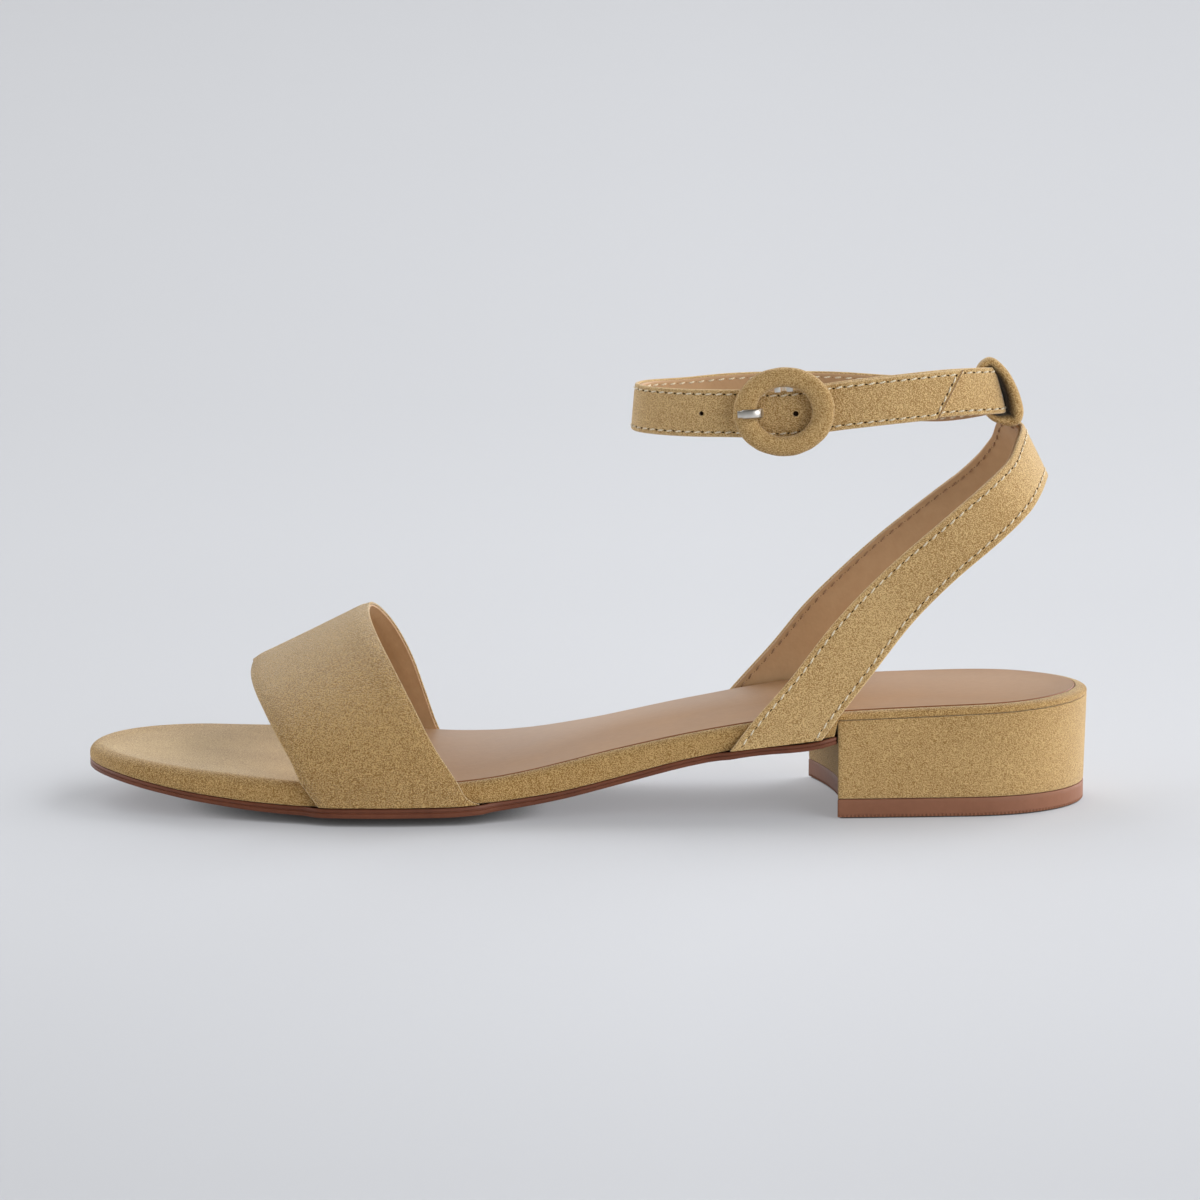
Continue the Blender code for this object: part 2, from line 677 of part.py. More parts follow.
def band_row(side, turn, across):
    """Points of the band from front to back at one turn of the arch; None gives its lasted edge."""
    name = "outer" if side == OUTER else "inner"
    rises = column(BAND_EDGES, "rise")
    fronts = column(BAND_EDGES, name + "_front")
    backs = column(BAND_EDGES, name + "_back")

    def along_at(rise):
        front = smooth(rises, fronts, rise)
        return front + (smooth(rises, backs, rise) - front) * across

    rim_along = along_at(0.0)
    rim_across = side * (half_width(rim_along, side) + STRAP_STAND_OFF)
    rim_height = section("seat", rim_along)
    if turn is None:
        along = along_at(rises[0])
        width = side * (half_width(along, side) + STRAP_STAND_OFF)
        return np.column_stack([along, width, tread_top(along, 1.0) + GAP])
    rise = math.sin(math.radians(turn)) ** (2 / ARCH_POWER)
    run = max(math.cos(math.radians(turn)), 0.0) ** (2 / ARCH_POWER)
    crown = CROWN_FRONT + (CROWN_BACK - CROWN_FRONT) * across
    width = CROWN_SIDE + (rim_across - CROWN_SIDE) * run
    return np.column_stack([along_at(rise), width, rim_height + (crown - rim_height) * rise])


def build_vamp_band(collection, material):
    across = np.linspace(0.0, 1.0, BAND_COLUMNS)
    turns = [None] + BAND_TURNS
    rows = [band_row(OUTER, turn, across) for turn in turns]
    rows.append(band_row(OUTER, CROWN_TURN, across))
    rows += [band_row(INNER, turn, across) for turn in reversed(turns)]
    return sheet("vamp_band", rows, STRAP_THICKNESS, collection, material)


# Sling strap

def last_wall(along, height, side):
    """Half-width of the last: the sole's outline at the rim, the ankle higher up."""
    low = half_width(along, side) + STRAP_STAND_OFF
    back = smooth(column(BACK_CURVE, "height"), column(BACK_CURVE, "along"), height)
    open_share = np.clip((along - back) / ANKLE_REACH, 0.0, 1.0)
    high = ANKLE_HALF * np.sin(open_share ** ANKLE_FULLNESS * math.pi / 2)
    rim = section("seat", along)
    return low + (high - low) * ease((height - rim) / (ANKLE_LEVEL - rim))


def sling_edges(side):
    """Matching points of the strap's upper and lower edges, from the sole to the middle of the back."""
    rows = [list(row) for row in SLING_EDGES]
    rows[0][1] = tread_top(rows[0][0], 1.0) + GAP
    rows[0][3] = tread_top(rows[0][2], 1.0) + GAP
    line = spline(rows, SLING_STEPS)
    edges = []
    for along, height in ((line[:, 0], line[:, 1]), (line[:, 2], line[:, 3])):
        height = np.minimum(height, SLING_EDGES[-1].upper_height)
        wall = last_wall(along, height, side)
        wall[-1] = 0.0
        if side == INNER:
            along = along + SLING_SKEW * wall * ease((SKEW_TOP - height) / SKEW_DROP)
        edges.append(np.column_stack([along, side * wall, height]))
    return edges


def build_sling_strap(collection, material):
    rows = []
    columns = np.linspace(0.0, 1.0, SLING_COLUMNS)
    for side in (OUTER, INNER):
        upper, lower = sling_edges(side)
        half = [low + np.outer(columns, high - low) for high, low in zip(upper, lower)]
        rows += half if side == OUTER else half[-2::-1]
    return sheet("sling_strap", rows, STRAP_THICKNESS, collection, material)


def build_back_loop(collection, material):
    path = spline([(row.along, row.height) for row in LOOP_ROWS], LOOP_STEPS, closed=True)[:-1]
    across = np.linspace(-LOOP_WIDTH / 2, LOOP_WIDTH / 2, LOOP_COLUMNS)
    rows = [[(along, y, height - LOOP_TILT * y) for y in across] for along, height in path]
    return sheet("back_loop", rows, LOOP_THICKNESS, collection, material, closed=True)


# Ankle strap and buckle

def ankle_path():
    """Closed path of the strap's lower edge from the buckle's bar round the back, with its lean."""
    outer = [(r.along, -r.half, r.outer_foot, r.lean) for r in ANKLE_ROWS]
    inner = [(r.along, r.half, r.inner_foot, r.lean) for r in ANKLE_ROWS]
    rows = outer[BUCKLE_ROW:] + inner[-2::-1] + outer[1:BUCKLE_ROW]
    path = spline(rows, ANKLE_STEPS, closed=True)
    return path, lengths(path[:, :2])


def ankle_point(path, run, where, share, offset):
    """Point on the strap: share 0 at its lower edge and 1 at its upper, moved outwards by the offset."""
    where = where % run[-1]
    here = at_length(path, run, where)
    ahead = at_length(path, run, (where + TANGENT_STEP) % run[-1])[..., :2]
    behind = at_length(path, run, (where - TANGENT_STEP) % run[-1])[..., :2]
    tangent = (ahead - behind) / np.linalg.norm(ahead - behind, axis=-1, keepdims=True)
    outward = np.stack([-tangent[..., 1], tangent[..., 0]], axis=-1)
    lean = here[..., 3]
    plan = here[..., :2] + outward * (offset - lean * share)[..., None]
    height = here[..., 2] + share * np.sqrt(ANKLE_WIDTH ** 2 - lean ** 2)
    return np.concatenate([plan, height[..., None]], axis=-1)


def layer_offset(where, whole):
    """How far the free end stands out over the layer under it."""
    return LAYER_STEP * ease((where - whole + LAYER_FROM) / LAYER_RUN)


def build_ankle_strap(collection, material):
    path, run = ankle_path()
    whole = run[-1]
    round_ankle = np.linspace(BAR_RADIUS + ANKLE_START, whole - ANKLE_BLEND[0], ANKLE_COUNTS[0])
    free_end = np.linspace(whole - ANKLE_BLEND[1], whole + OVERLAP, ANKLE_COUNTS[1])
    shares = np.linspace(0.0, 1.0, ANKLE_COLUMNS)
    rows = []
    for where in np.concatenate([round_ankle, free_end]):
        slant = TIP_SLANT * ease((where - whole - OVERLAP + TIP_LENGTH) / TIP_LENGTH)
        places = where + slant * (shares - 0.5)
        rows.append(ankle_point(path, run, places, shares, layer_offset(places, whole)))
    return sheet("ankle_strap", rows, STRAP_THICKNESS, collection, material)


def buckle_frame():
    """Frame at the bar, on the free end's outer face: along the strap to the toe, up, outwards."""
    path, run = ankle_path()
    half = np.array(0.5)
    step = np.array(LAYER_STEP)
    middle = place(ankle_point(path, run, np.array(0.0), half, step))
    ahead = place(ankle_point(path, run, np.array(-5.0), half, step))
    above = place(ankle_point(path, run, np.array(0.0), np.array(1.0), step))
    toe_ward = Vector(ahead - middle).normalized()
    up = Vector(above - middle)
    up = (up - toe_ward * up.dot(toe_ward)).normalized()
    outward = up.cross(toe_ward).normalized()
    if outward.y > 0:
        outward.negate()
    frame = Matrix((toe_ward, up, outward)).transposed().to_4x4()
    frame.translation = Vector(middle)
    return frame


def in_frame(frame, points):
    return [frame @ (Vector(p) * MM) for p in points]


def ring_lift():
    return STRAP_THICKNESS / 2 + GAP + RING_DEPTH / 2


def build_buckle_ring(collection, material):
    bpy.ops.mesh.primitive_torus_add(
        major_segments=RING_SEGMENTS[0],
        minor_segments=RING_SEGMENTS[1],
        major_radius=(RING_WIDTH - RING_BAND) / 2 * MM,
        minor_radius=RING_BAND / 2 * MM,
    )
    part = bpy.context.object
    part.name = "buckle_ring"
    part.data.name = "buckle_ring"
    squash = Matrix.Diagonal((1.0, RING_HEIGHT / RING_WIDTH, RING_DEPTH / RING_BAND, 1.0))
    lift = Matrix.Translation((0.0, 0.0, ring_lift() * MM))
    part.data.transform(buckle_frame() @ lift @ squash)
    part.data.materials.append(material)
    shape = bmesh.new()
    shape.from_mesh(part.data)
    bmesh.ops.recalc_face_normals(shape, faces=shape.faces)
    shape.to_mesh(part.data)
    shape.free()
    shade_round(part.data)
    for home in list(part.users_collection):
        home.objects.unlink(part)
    collection.objects.link(part)
    return part


def build_buckle_bar(collection, material):
    """Staple behind the strap, its feet at the back of the ring."""
    leg = (RING_WIDTH - RING_BAND) / 2 * RING_HEIGHT / RING_WIDTH
    back = ring_lift() - RING_DEPTH / 2 - GAP
    points = [
        (0.0, leg, back - BAR_FOOT),
        (0.0, leg, -LAYER_STEP + BAR_BEND),
        (0.0, leg - BAR_BEND, -LAYER_STEP),
        (0.0, BAR_BEND - leg, -LAYER_STEP),
        (0.0, -leg, -LAYER_STEP + BAR_BEND),
        (0.0, -leg, back - BAR_FOOT),
    ]
    return wire("buckle_bar", in_frame(buckle_frame(), points), BAR_RADIUS, collection, material)


def build_buckle_prong(collection, material):
    """From the bar behind the strap, out through its hole and over the ring."""
    hole = HOLE_FIRST + HOLE_PITCH * PRONG_HOLE
    top = ring_lift() + RING_DEPTH / 2 + GAP + PRONG_RADIUS
    bends = [
        (BAR_RADIUS + PRONG_RADIUS + 0.5, 0.0, -LAYER_STEP - 0.6),
        (hole - 1.2, 0.0, -LAYER_STEP - 0.4),
        (hole - 0.1, 0.0, -LAYER_STEP + 0.6),
        (hole, 0.0, 0.0),
        (hole + 0.3, 0.0, 2.2),
        (hole + 1.6, 0.0, top - 0.5),
        (hole + 3.4, 0.0, top),
        (PRONG_REACH, 0.0, top - 0.1),
    ]
    points = spline(bends, 2)
    return wire("buckle_prong", in_frame(buckle_frame(), points), PRONG_RADIUS, collection, material)


def punch_holes(strap, collection):
    """Row of holes through the free end, with a wider one round the prong."""
    path, run = ankle_path()
    for i in range(HOLE_COUNT):
        where = run[-1] - (HOLE_FIRST + HOLE_PITCH * i)
        offset = layer_offset(where, run[-1])
        middle = ankle_point(path, run, np.array(where), np.array(0.5), offset)
        across = ankle_point(path, run, np.array(where), np.array(0.5), offset + 1.0)
        centre = Vector(place(middle))
        axis = Vector(place(across)) - centre
        bpy.ops.mesh.primitive_cylinder_add(
            vertices=PUNCH_SIDES,
            radius=(PRONG_HOLE_RADIUS if i == PRONG_HOLE else HOLE_RADIUS) * MM,
            depth=(STRAP_THICKNESS + PUNCH_SPARE) * MM,
            location=centre,
            rotation=axis.to_track_quat("Z", "Y").to_euler(),
        )
        punch = bpy.context.object
        punch.name = "punch_%d" % i
        for home in list(punch.users_collection):
            home.objects.unlink(punch)
        collection.objects.link(punch)
        punch.hide_render = True
        punch.display_type = "WIRE"
        cut = strap.modifiers.new(punch.name, "BOOLEAN")
        cut.operation = "DIFFERENCE"
        cut.solver = "EXACT"
        cut.object = punch


def main():
    for stray in list(bpy.data.objects):
        bpy.data.objects.remove(stray)
    sandal = bpy.data.collections.new("dress_sandal")
    cutters = bpy.data.collections.new("cutters")
    bpy.context.scene.collection.children.link(sandal)
    bpy.context.scene.collection.children.link(cutters)
    build_outsole(sandal, make_material("outsole", TREAD))
    build_footbed(sandal, make_material("footbed_suede", SUEDE))
    build_insole(sandal, make_material("sock", SOCK))
    build_heel_block(sandal, make_material("heel_suede", SUEDE))
    build_top_piece(sandal, make_material("top_piece_rubber", RUBBER))
    build_vamp_band(sandal, make_material("band_suede", SUEDE))
    build_sling_strap(sandal, make_material("sling_suede", SUEDE))
    build_back_loop(sandal, make_material("loop_suede", SUEDE))
    strap = build_ankle_strap(sandal, make_material("ankle_suede", SUEDE))
    punch_holes(strap, cutters)
    build_buckle_ring(sandal, make_material("ring_suede", SUEDE))
    build_buckle_bar(sandal, make_material("bar_steel", STEEL))
    build_buckle_prong(sandal, make_material("prong_steel", STEEL))


main()
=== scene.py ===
import math

import bmesh
import bpy
import numpy as np
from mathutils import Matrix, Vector


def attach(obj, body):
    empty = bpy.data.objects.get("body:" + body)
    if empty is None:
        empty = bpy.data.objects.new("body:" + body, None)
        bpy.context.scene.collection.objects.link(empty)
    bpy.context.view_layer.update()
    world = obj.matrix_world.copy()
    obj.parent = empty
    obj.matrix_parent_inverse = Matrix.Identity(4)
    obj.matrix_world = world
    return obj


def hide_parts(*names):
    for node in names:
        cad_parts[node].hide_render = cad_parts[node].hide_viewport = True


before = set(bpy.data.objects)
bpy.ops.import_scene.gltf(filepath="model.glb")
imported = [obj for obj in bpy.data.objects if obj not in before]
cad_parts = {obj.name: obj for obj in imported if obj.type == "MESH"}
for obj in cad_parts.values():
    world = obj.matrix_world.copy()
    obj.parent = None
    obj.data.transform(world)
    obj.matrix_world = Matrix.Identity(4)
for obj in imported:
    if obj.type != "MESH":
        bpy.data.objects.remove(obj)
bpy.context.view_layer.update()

mm = 0.001
outerSide = -1          # little-toe side, towards the camera
innerSide = 1           # big-toe side
print("frame loaded:", len(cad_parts), "solids")


# curves

def smoothCurve(places, values, at):
    # monotone cubic, so a width never swings past the row that gives it
    at = np.clip(np.asarray(at, float), places[0], places[-1])
    steps = np.diff(places)
    slopes = np.diff(values) / steps
    sameWay = slopes[:-1] * slopes[1:] > 0
    total = np.where(sameWay, slopes[:-1] + slopes[1:], 1.0)
    tangents = np.empty(len(values))
    tangents[1:-1] = np.where(sameWay, 2 * slopes[:-1] * slopes[1:] / total, 0.0)
    tangents[0] = slopes[0]
    tangents[-1] = slopes[-1]
    i = np.clip(np.searchsorted(places, at) - 1, 0, len(steps) - 1)
    t = (at - places[i]) / steps[i]
    rise = values[i] * (1 + 2 * t) * (1 - t) ** 2 + values[i + 1] * t * t * (3 - 2 * t)
    lean = tangents[i] * t * (1 - t) ** 2 + tangents[i + 1] * t * t * (t - 1)
    return rise + lean * steps[i]


def tableCurve(piece, column, at):
    k = piece["columns"].index(column)
    rows = np.array(piece["rows"], float)
    return smoothCurve(rows[:, 0], rows[:, k], at)


def ease(t):
    t = np.clip(t, 0.0, 1.0)
    return t * t * (3 - 2 * t)


def splineThrough(points, perSpan, closed=False):
    points = np.asarray(points, float)
    count = len(points)
    out = []
    for i in range(count if closed else count - 1):
        if closed:
            a, b, c, d = (points[(i + k) % count] for k in (-1, 0, 1, 2))
        else:
            b, c = points[i], points[i + 1]
            a = points[i - 1] if i > 0 else 2 * b - c
            d = points[i + 2] if i + 2 < count else 2 * c - b
        for t in np.arange(perSpan) / perSpan:
            straight = (c - a) * t + (2 * a - 5 * b + 4 * c - d) * t * t
            out.append(b + 0.5 * (straight + (3 * b - a - 3 * c + d) * t ** 3))
    out.append(points[0] if closed else points[-1])
    return np.array(out)


def runLength(points):
    steps = np.linalg.norm(np.diff(points, axis=0), axis=1)
    return np.concatenate([[0.0], np.cumsum(steps)])


def pointAt(points, run, where):
    return np.stack([np.interp(where, run, points[:, k]) for k in range(points.shape[1])], axis=-1)


def unit(vectors):
    return vectors / np.maximum(np.linalg.norm(vectors, axis=-1, keepdims=True), 1e-9)


def bunched(first, last, count, end):
    t = np.linspace(0.0, 1.0, count)
    t = 1 - np.cos(t * math.pi / 2) if end == "first" else np.sin(t * math.pi / 2)
    return first + (last - first) * t


def circle(count):
    return np.arange(count) * 2 * math.pi / count


# form of the sole, in millimetres: along runs from the back of the heel to the toe

sole = {
    "length": 248.4,
    "heelRound": 32.0,
    "toeRound": 30.0,
    "clear": 0.3,            # between neighbouring pieces
    "strapClear": 0.4,       # between the footbed's side and a strap
    "seam": 0.1,             # left open under the footbed's edge
    "setBack": 0.25,         # outsole behind the footbed's edge
    "setBackOver": 10.0,     # half-width over which it comes in
    "tuck": 2.0,             # outsole pushed out under a lasted strap
    "flat": 0.5,             # share of the tread that lies on the ground
    "waist": 90.0,
    "breast": 66.6,
    "breastSlant": 0.13,
    "breastHollow": 4.5,
    "breastHalf": 28.0,      # half-width at which the hollow runs out
    "breastStep": (0.3, 0.4),        # where the footbed's underside leaves the heel, and over what length
    "heelTopFront": 24.0,
    "heelTopBack": 26.2,
    "heelCup": 4.0,
    "cupFill": 0.9,          # share of the cup that the footbed fills
    "dish": 0.4,             # hollow of the footbed's top
    "heelDish": 1.0,         # added under the heel
    "dishFrom": 100.0,
    "dishOver": 60.0,
    "middle": (22.0, 224.0),         # ends of the middle line
    "columns": ("along", "outer", "inner", "underside", "lift", "thick", "seat"),
    "rows": [
        (0, 27.2, 25.8, 19.5, 1.0, 1.9, 28.2),
        (25, 27.2, 25.8, 19.2, 1.0, 1.9, 27.5),
        (45, 28.4, 25.8, 18.7, 1.0, 1.9, 26.9),
        (63, 29.5, 25.0, 17.3, 1.0, 1.9, 26.1),
        (72, 29.8, 23.8, 15.8, 1.0, 1.9, 25.2),
        (82, 30.0, 22.3, 15.0, 1.0, 1.9, 23.9),
        (97, 30.3, 20.6, 12.5, 1.0, 1.9, 21.4),
        (117, 31.3, 20.4, 7.5, 1.0, 1.9, 17.2),
        (130, 33.0, 23.5, 4.2, 1.2, 2.0, 14.2),
        (140, 34.6, 27.2, 2.2, 1.5, 2.2, 12.1),
        (150, 36.3, 31.5, 0.7, 1.8, 2.4, 10.6),
        (160, 37.8, 35.2, 0.0, 2.0, 2.5, 9.9),
        (175, 38.8, 38.6, 0.0, 2.0, 2.5, 9.8),
        (188, 38.0, 39.2, 0.0, 2.0, 2.4, 10.1),
        (205, 34.8, 38.0, 0.9, 1.8, 2.2, 10.9),
        (218, 31.0, 36.0, 2.2, 1.8, 2.0, 11.6),
        (230, 28.0, 33.4, 4.0, 1.6, 1.9, 12.4),
        (240, 27.0, 31.6, 5.7, 1.4, 1.9, 13.1),
        (248.4, 25.5, 30.5, 7.0, 1.0, 1.9, 13.6),
    ],
}

band = {
    "thickness": 2.0,
    "crownFront": 31.6,      # height of the middle surface over the toes
    "crownBack": 46.8,
    "crownSide": 5.0,
    "archPower": 2.3,
    "footSteps": 20,
    "archSteps": 56,
    "acrossSteps": 34,
    "footFlare": 4.0,        # the back edge runs out along the outsole
    "skive": {"share": 0.42, "reach": 3.0},
    "columns": ("rise", "outerFront", "outerBack", "innerFront", "innerBack"),
    "rows": [
        (-0.25, 189.6, 150.5, 193.0, 157.0),
        (0.0, 193.8, 155.5, 198.0, 162.6),
        (0.25, 196.3, 161.5, 202.0, 165.8),
        (0.5, 199.7, 166.5, 205.8, 168.8),
        (0.75, 203.4, 172.0, 208.6, 172.8),
        (0.9, 206.1, 175.8, 208.9, 176.0),
        (1.0, 208.0, 178.5, 208.0, 178.5),
    ],
}

sling = {
    "thickness": 2.0,
    "ankleHalf": 24.0,
    "ankleReach": 36.0,
    "ankleLevel": 60.0,
    "backRound": 0.55,       # how squarely the wall turns in at the back
    "perSpan": 14,
    "acrossSteps": 24,
    "groove": {"depth": 0.2, "inset": 2.0, "width": 0.55},
    "stitchPitch": 2.85,
    "stitchSink": 0.17,
    "edges": [               # upper along, upper height, lower along, lower height
        (89.5, 16.5, 67.0, 20.2),
        (83.5, 25.0, 62.5, 26.0),
        (75.0, 34.5, 54.5, 36.0),
        (64.0, 48.0, 44.7, 48.0),
        (51.0, 61.3, 34.0, 58.5),
        (37.2, 73.4, 23.2, 67.3),
        (26.6, 82.0, 16.2, 73.3),
        (21.3, 86.4, 13.0, 77.3),
        (19.0, 90.3, 11.6, 79.5),
        (17.4, 93.0, 11.0, 80.0),
    ],
    "columns": ("height", "along"),      # back of the last
    "rows": [(0.0, 0.0), (25.0, 0.0), (50.0, 3.0), (65.0, 6.0), (80.0, 11.0), (93.0, 17.4)],
    "inner": {               # the inner side stands this much further forward and up
        "over": 6.0,
        "columns": ("height", "shift", "rise"),
        "rows": [(17.0, 3.2, 0.0), (28.0, 2.3, 0.0), (40.0, 2.3, 0.0), (51.0, 1.5, 0.0), (61.0, 0.8, 0.0),
                 (69.0, 0.0, 0.0), (77.0, -0.4, 0.0), (82.0, 0.4, 0.5), (86.0, 2.0, 1.7), (91.0, 3.0, 3.2),
                 (93.0, 3.0, 3.4)],
    },
}


def soleAt(column, along):
    return tableCurve(sole, column, along)


def sideName(side):
    return "outer" if side == outerSide else "inner"


def heelEnd(along):
    # 0 along the sole, rising to 1 at the back of the heel
    return np.clip((sole["heelRound"] - along) / sole["heelRound"], 0.0, 1.0)


def halfWidth(along, side):
    toeEnd = np.clip((along - sole["length"] + sole["toeRound"]) / sole["toeRound"], 0.0, 1.0)
    return soleAt(sideName(side), along) * np.sqrt(1 - heelEnd(along) ** 2) * np.sqrt(1 - toeEnd ** 2)


def window(along, first, last, ramp=4.0):
    return ease((along - first + ramp) / ramp) * ease((last + ramp - along) / ramp)


def outsoleHalf(along, side):
    lasted = dict(zip(band["columns"], band["rows"][0]))
    name = sideName(side)
    base = sling["edges"][0]
    tucked = window(along, lasted[name + "Back"], lasted[name + "Front"]) + window(along, base[2], base[0])
    free = halfWidth(along, side)
    return free - sole["setBack"] * np.clip(free / sole["setBackOver"], 0, 1) + sole["tuck"] * tucked


def breastAt(across):
    hollow = sole["breastHollow"] * (1 - (across / sole["breastHalf"]) ** 2)
    return sole["breast"] + sole["breastSlant"] * across - hollow


def breastAtEdge(side, half):
    along = sole["breast"]
    for _ in range(12):      # settles well before that
        along = breastAt(side * half(along, side))
    return float(along)


def heelTop(along):
    return sole["heelTopBack"] + (sole["heelTopFront"] - sole["heelTopBack"]) * along / sole["breast"]


def heelCup(along, across):
    side = np.where(across < 0, soleAt("outer", along), soleAt("inner", along))
    return sole["heelCup"] * np.clip(1 - (across / side) ** 2 - heelEnd(along) ** 2, 0.0, 1.0)


def tread(along, share):
    curl = np.clip((share - sole["flat"]) / (1 - sole["flat"]), 0.0, 1.0) ** 2
    return soleAt("underside", along) + soleAt("lift", along) * curl


def treadTop(along, share):
    return tread(along, share) + soleAt("thick", along)


def sideShare(points, share):
    # behind the waist the share is measured straight across
    along, across = points[:, 0], points[:, 1]
    outer = outsoleHalf(along, outerSide)
    inner = outsoleHalf(along, innerSide)
    straight = np.abs(across - (inner - outer) / 2) / ((inner + outer) / 2)
    return np.where(along < sole["waist"], np.clip(straight, 0.0, 1.0), share)


def bedUnderside(along, across, share):
    onOutsole = treadTop(along, share) + sole["seam"]
    start, over = sole["breastStep"]
    past = np.clip((along - breastAt(across) - start) / over, 0.0, 1.0)
    onHeel = heelTop(along) + sole["seam"] - heelCup(along, across) * sole["cupFill"]
    return onHeel * (1 - past) + onOutsole * past


def dish(along, share):
    added = sole["heelDish"] * ease((sole["dishFrom"] - along) / sole["dishOver"])
    return (sole["dish"] + added) * (1 - share ** 2)


def soleOutline(outerAlong, innerAlong, half, rearCut=None, frontCut=None, ends=sole["middle"]):
    # outer side to the toe, then back along the inner side; every point knows its place on the middle line
    outer = np.stack([outerAlong, -half(outerAlong, outerSide)], axis=1)
    inner = np.stack([innerAlong, half(innerAlong, innerSide)], axis=1)
    middleAlong = np.clip((outerAlong + innerAlong) / 2, *ends)
    offset = (half(middleAlong, innerSide) - half(middleAlong, outerSide)) / 2
    middle = np.stack([middleAlong, offset], axis=1)
    runs = [(outer, middle), (frontCut, middle[-1:]), (inner[::-1], middle[::-1]), (rearCut, middle[:1])]
    runs = [(edge, np.broadcast_to(line, edge.shape)) for edge, line in runs if edge is not None]
    points, spine = (np.concatenate(part) for part in zip(*runs))
    apart = np.linalg.norm(points - np.roll(points, 1, axis=0), axis=1) > 1e-6
    return points[apart], spine[apart]


def breastLine(first, last, count, shift):
    across = np.linspace(first, last, count + 2)[1:-1]
    return np.stack([breastAt(across) + shift, across], axis=1)


def insetOutline(points, distance):
    ahead = unit(np.roll(points, -1, axis=0) - points)
    behind = unit(points - np.roll(points, 1, axis=0))
    turn = ahead + behind
    size = np.linalg.norm(turn, axis=1, keepdims=True)
    normal = np.stack([-turn[:, 1], turn[:, 0]], axis=1) / size
    mitre = np.clip(size / 2, 0.6, 1.0)      # no further out than this at a corner
    return points + normal * np.reshape(distance, (-1, 1)) / mitre


def softOutline(points, spine, count, reach):
    # even steps round the outline, its corners rounded over the reach
    both = np.concatenate([points, spine], axis=1)
    both = np.concatenate([both, both[:1]])
    run = runLength(both[:, :2])
    spacing = run[-1] / count
    even = pointAt(both, run, np.arange(count) * spacing)
    width = max(int(reach / spacing / 2), 1)
    total = sum(np.roll(even[:, :2], k, axis=0) for k in range(-width, width + 1))
    return total / (2 * width + 1), even[:, 2:]


def lifted(points, height):
    return np.column_stack([points, np.broadcast_to(height, len(points))])


def inPlace(points):
    points = np.asarray(points, float)
    return np.stack([sole["length"] / 2 - points[..., 0], points[..., 1], points[..., 2]], axis=-1)


# meshes: every grid and ring is in millimetres, and made into metres here

def newObject(name, data):
    made = bpy.data.objects.new(name, data)
    bpy.context.scene.collection.objects.link(made)
    return made


def makePiece(name, points, faces, material, marks=None, sharp=38.0, weld=0.004):
    mesh = bpy.data.meshes.new(name)
    mesh.from_pydata((np.asarray(points) * mm).tolist(), [], [list(f) for f in faces])
    for label, values in (marks or {}).items():
        mark = mesh.attributes.new(label, "FLOAT", "POINT")
        mark.data.foreach_set("value", np.asarray(values, np.float32))
    shape = bmesh.new()
    shape.from_mesh(mesh)
    bmesh.ops.remove_doubles(shape, verts=shape.verts, dist=weld * mm)
    bmesh.ops.dissolve_degenerate(shape, edges=shape.edges, dist=weld * mm * 0.5)
    bmesh.ops.recalc_face_normals(shape, faces=shape.faces)
    shape.to_mesh(mesh)
    shape.free()
    mesh.shade_smooth()
    mesh.set_sharp_from_angle(angle=math.radians(sharp))
    mesh.materials.append(material)
    piece = newObject(name, mesh)
    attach(piece, "root")
    return piece


def gridFaces(rows, columns, start=0, closed=False, flip=False):
    index = start + np.arange(rows * columns).reshape(rows, columns)
    ahead = np.roll(index, -1, axis=0) if closed else index[1:]
    here = index if closed else index[:-1]
    quads = np.stack([here[:, :-1], here[:, 1:], ahead[:, 1:], ahead[:, :-1]], axis=-1).reshape(-1, 4)
    return quads[:, ::-1] if flip else quads


def tubeFaces(rings, sides, start=0, closed=False, capped=False):
    # quads between neighbouring rings of points
    here = start + np.arange(rings * sides).reshape(rings, sides)
    right = np.roll(here, -1, axis=1)
    quads = np.stack([here, right, np.roll(right, -1, axis=0), np.roll(here, -1, axis=0)], axis=-1)
    faces = (quads if closed else quads[:-1]).reshape(-1, 4).tolist()
    if capped:
        faces += [here[0, ::-1].tolist(), here[-1].tolist()]
    return faces


def lensFaces(sides, start=0):
    # a ring of points, then a point above it and a point below
    faces = []
    for i in range(sides):
        j = (i + 1) % sides
        faces.append([start + i, start + j, start + sides])
        faces.append([start + j, start + i, start + sides + 1])
    return faces


def ringLoft(name, rings, material, marks=None):
    # closed rings skinned in order; the first and last are folded onto a middle line and welded
    points = np.concatenate([inPlace(ring) for ring in rings])
    return makePiece(name, points, tubeFaces(len(rings), len(rings[0])), material, marks)


def edgeSteps(width, roundness, middle):
    # distances across a strap, close together where its edge turns over
    width = np.asarray(width, float)[:, None]
    turn = roundness * (1 - np.cos(np.linspace(0, math.pi / 2, 6)))
    near = np.concatenate([turn, [roundness * 1.6, roundness * 2.4]])        # two steps beside the turn
    inside = near[-1] + (width - 2 * near[-1]) * np.linspace(0, 1, middle)[None, 1:-1]
    low = np.broadcast_to(near, (len(width), len(near)))
    return np.concatenate([low, inside, width - low[:, ::-1]], axis=1)


def gridNormals(grid, closed=False):
    if closed:
        along = np.roll(grid, -1, axis=0) - np.roll(grid, 1, axis=0)
    else:
        along = np.gradient(grid, axis=0)
    return unit(np.cross(along, np.gradient(grid, axis=1)))


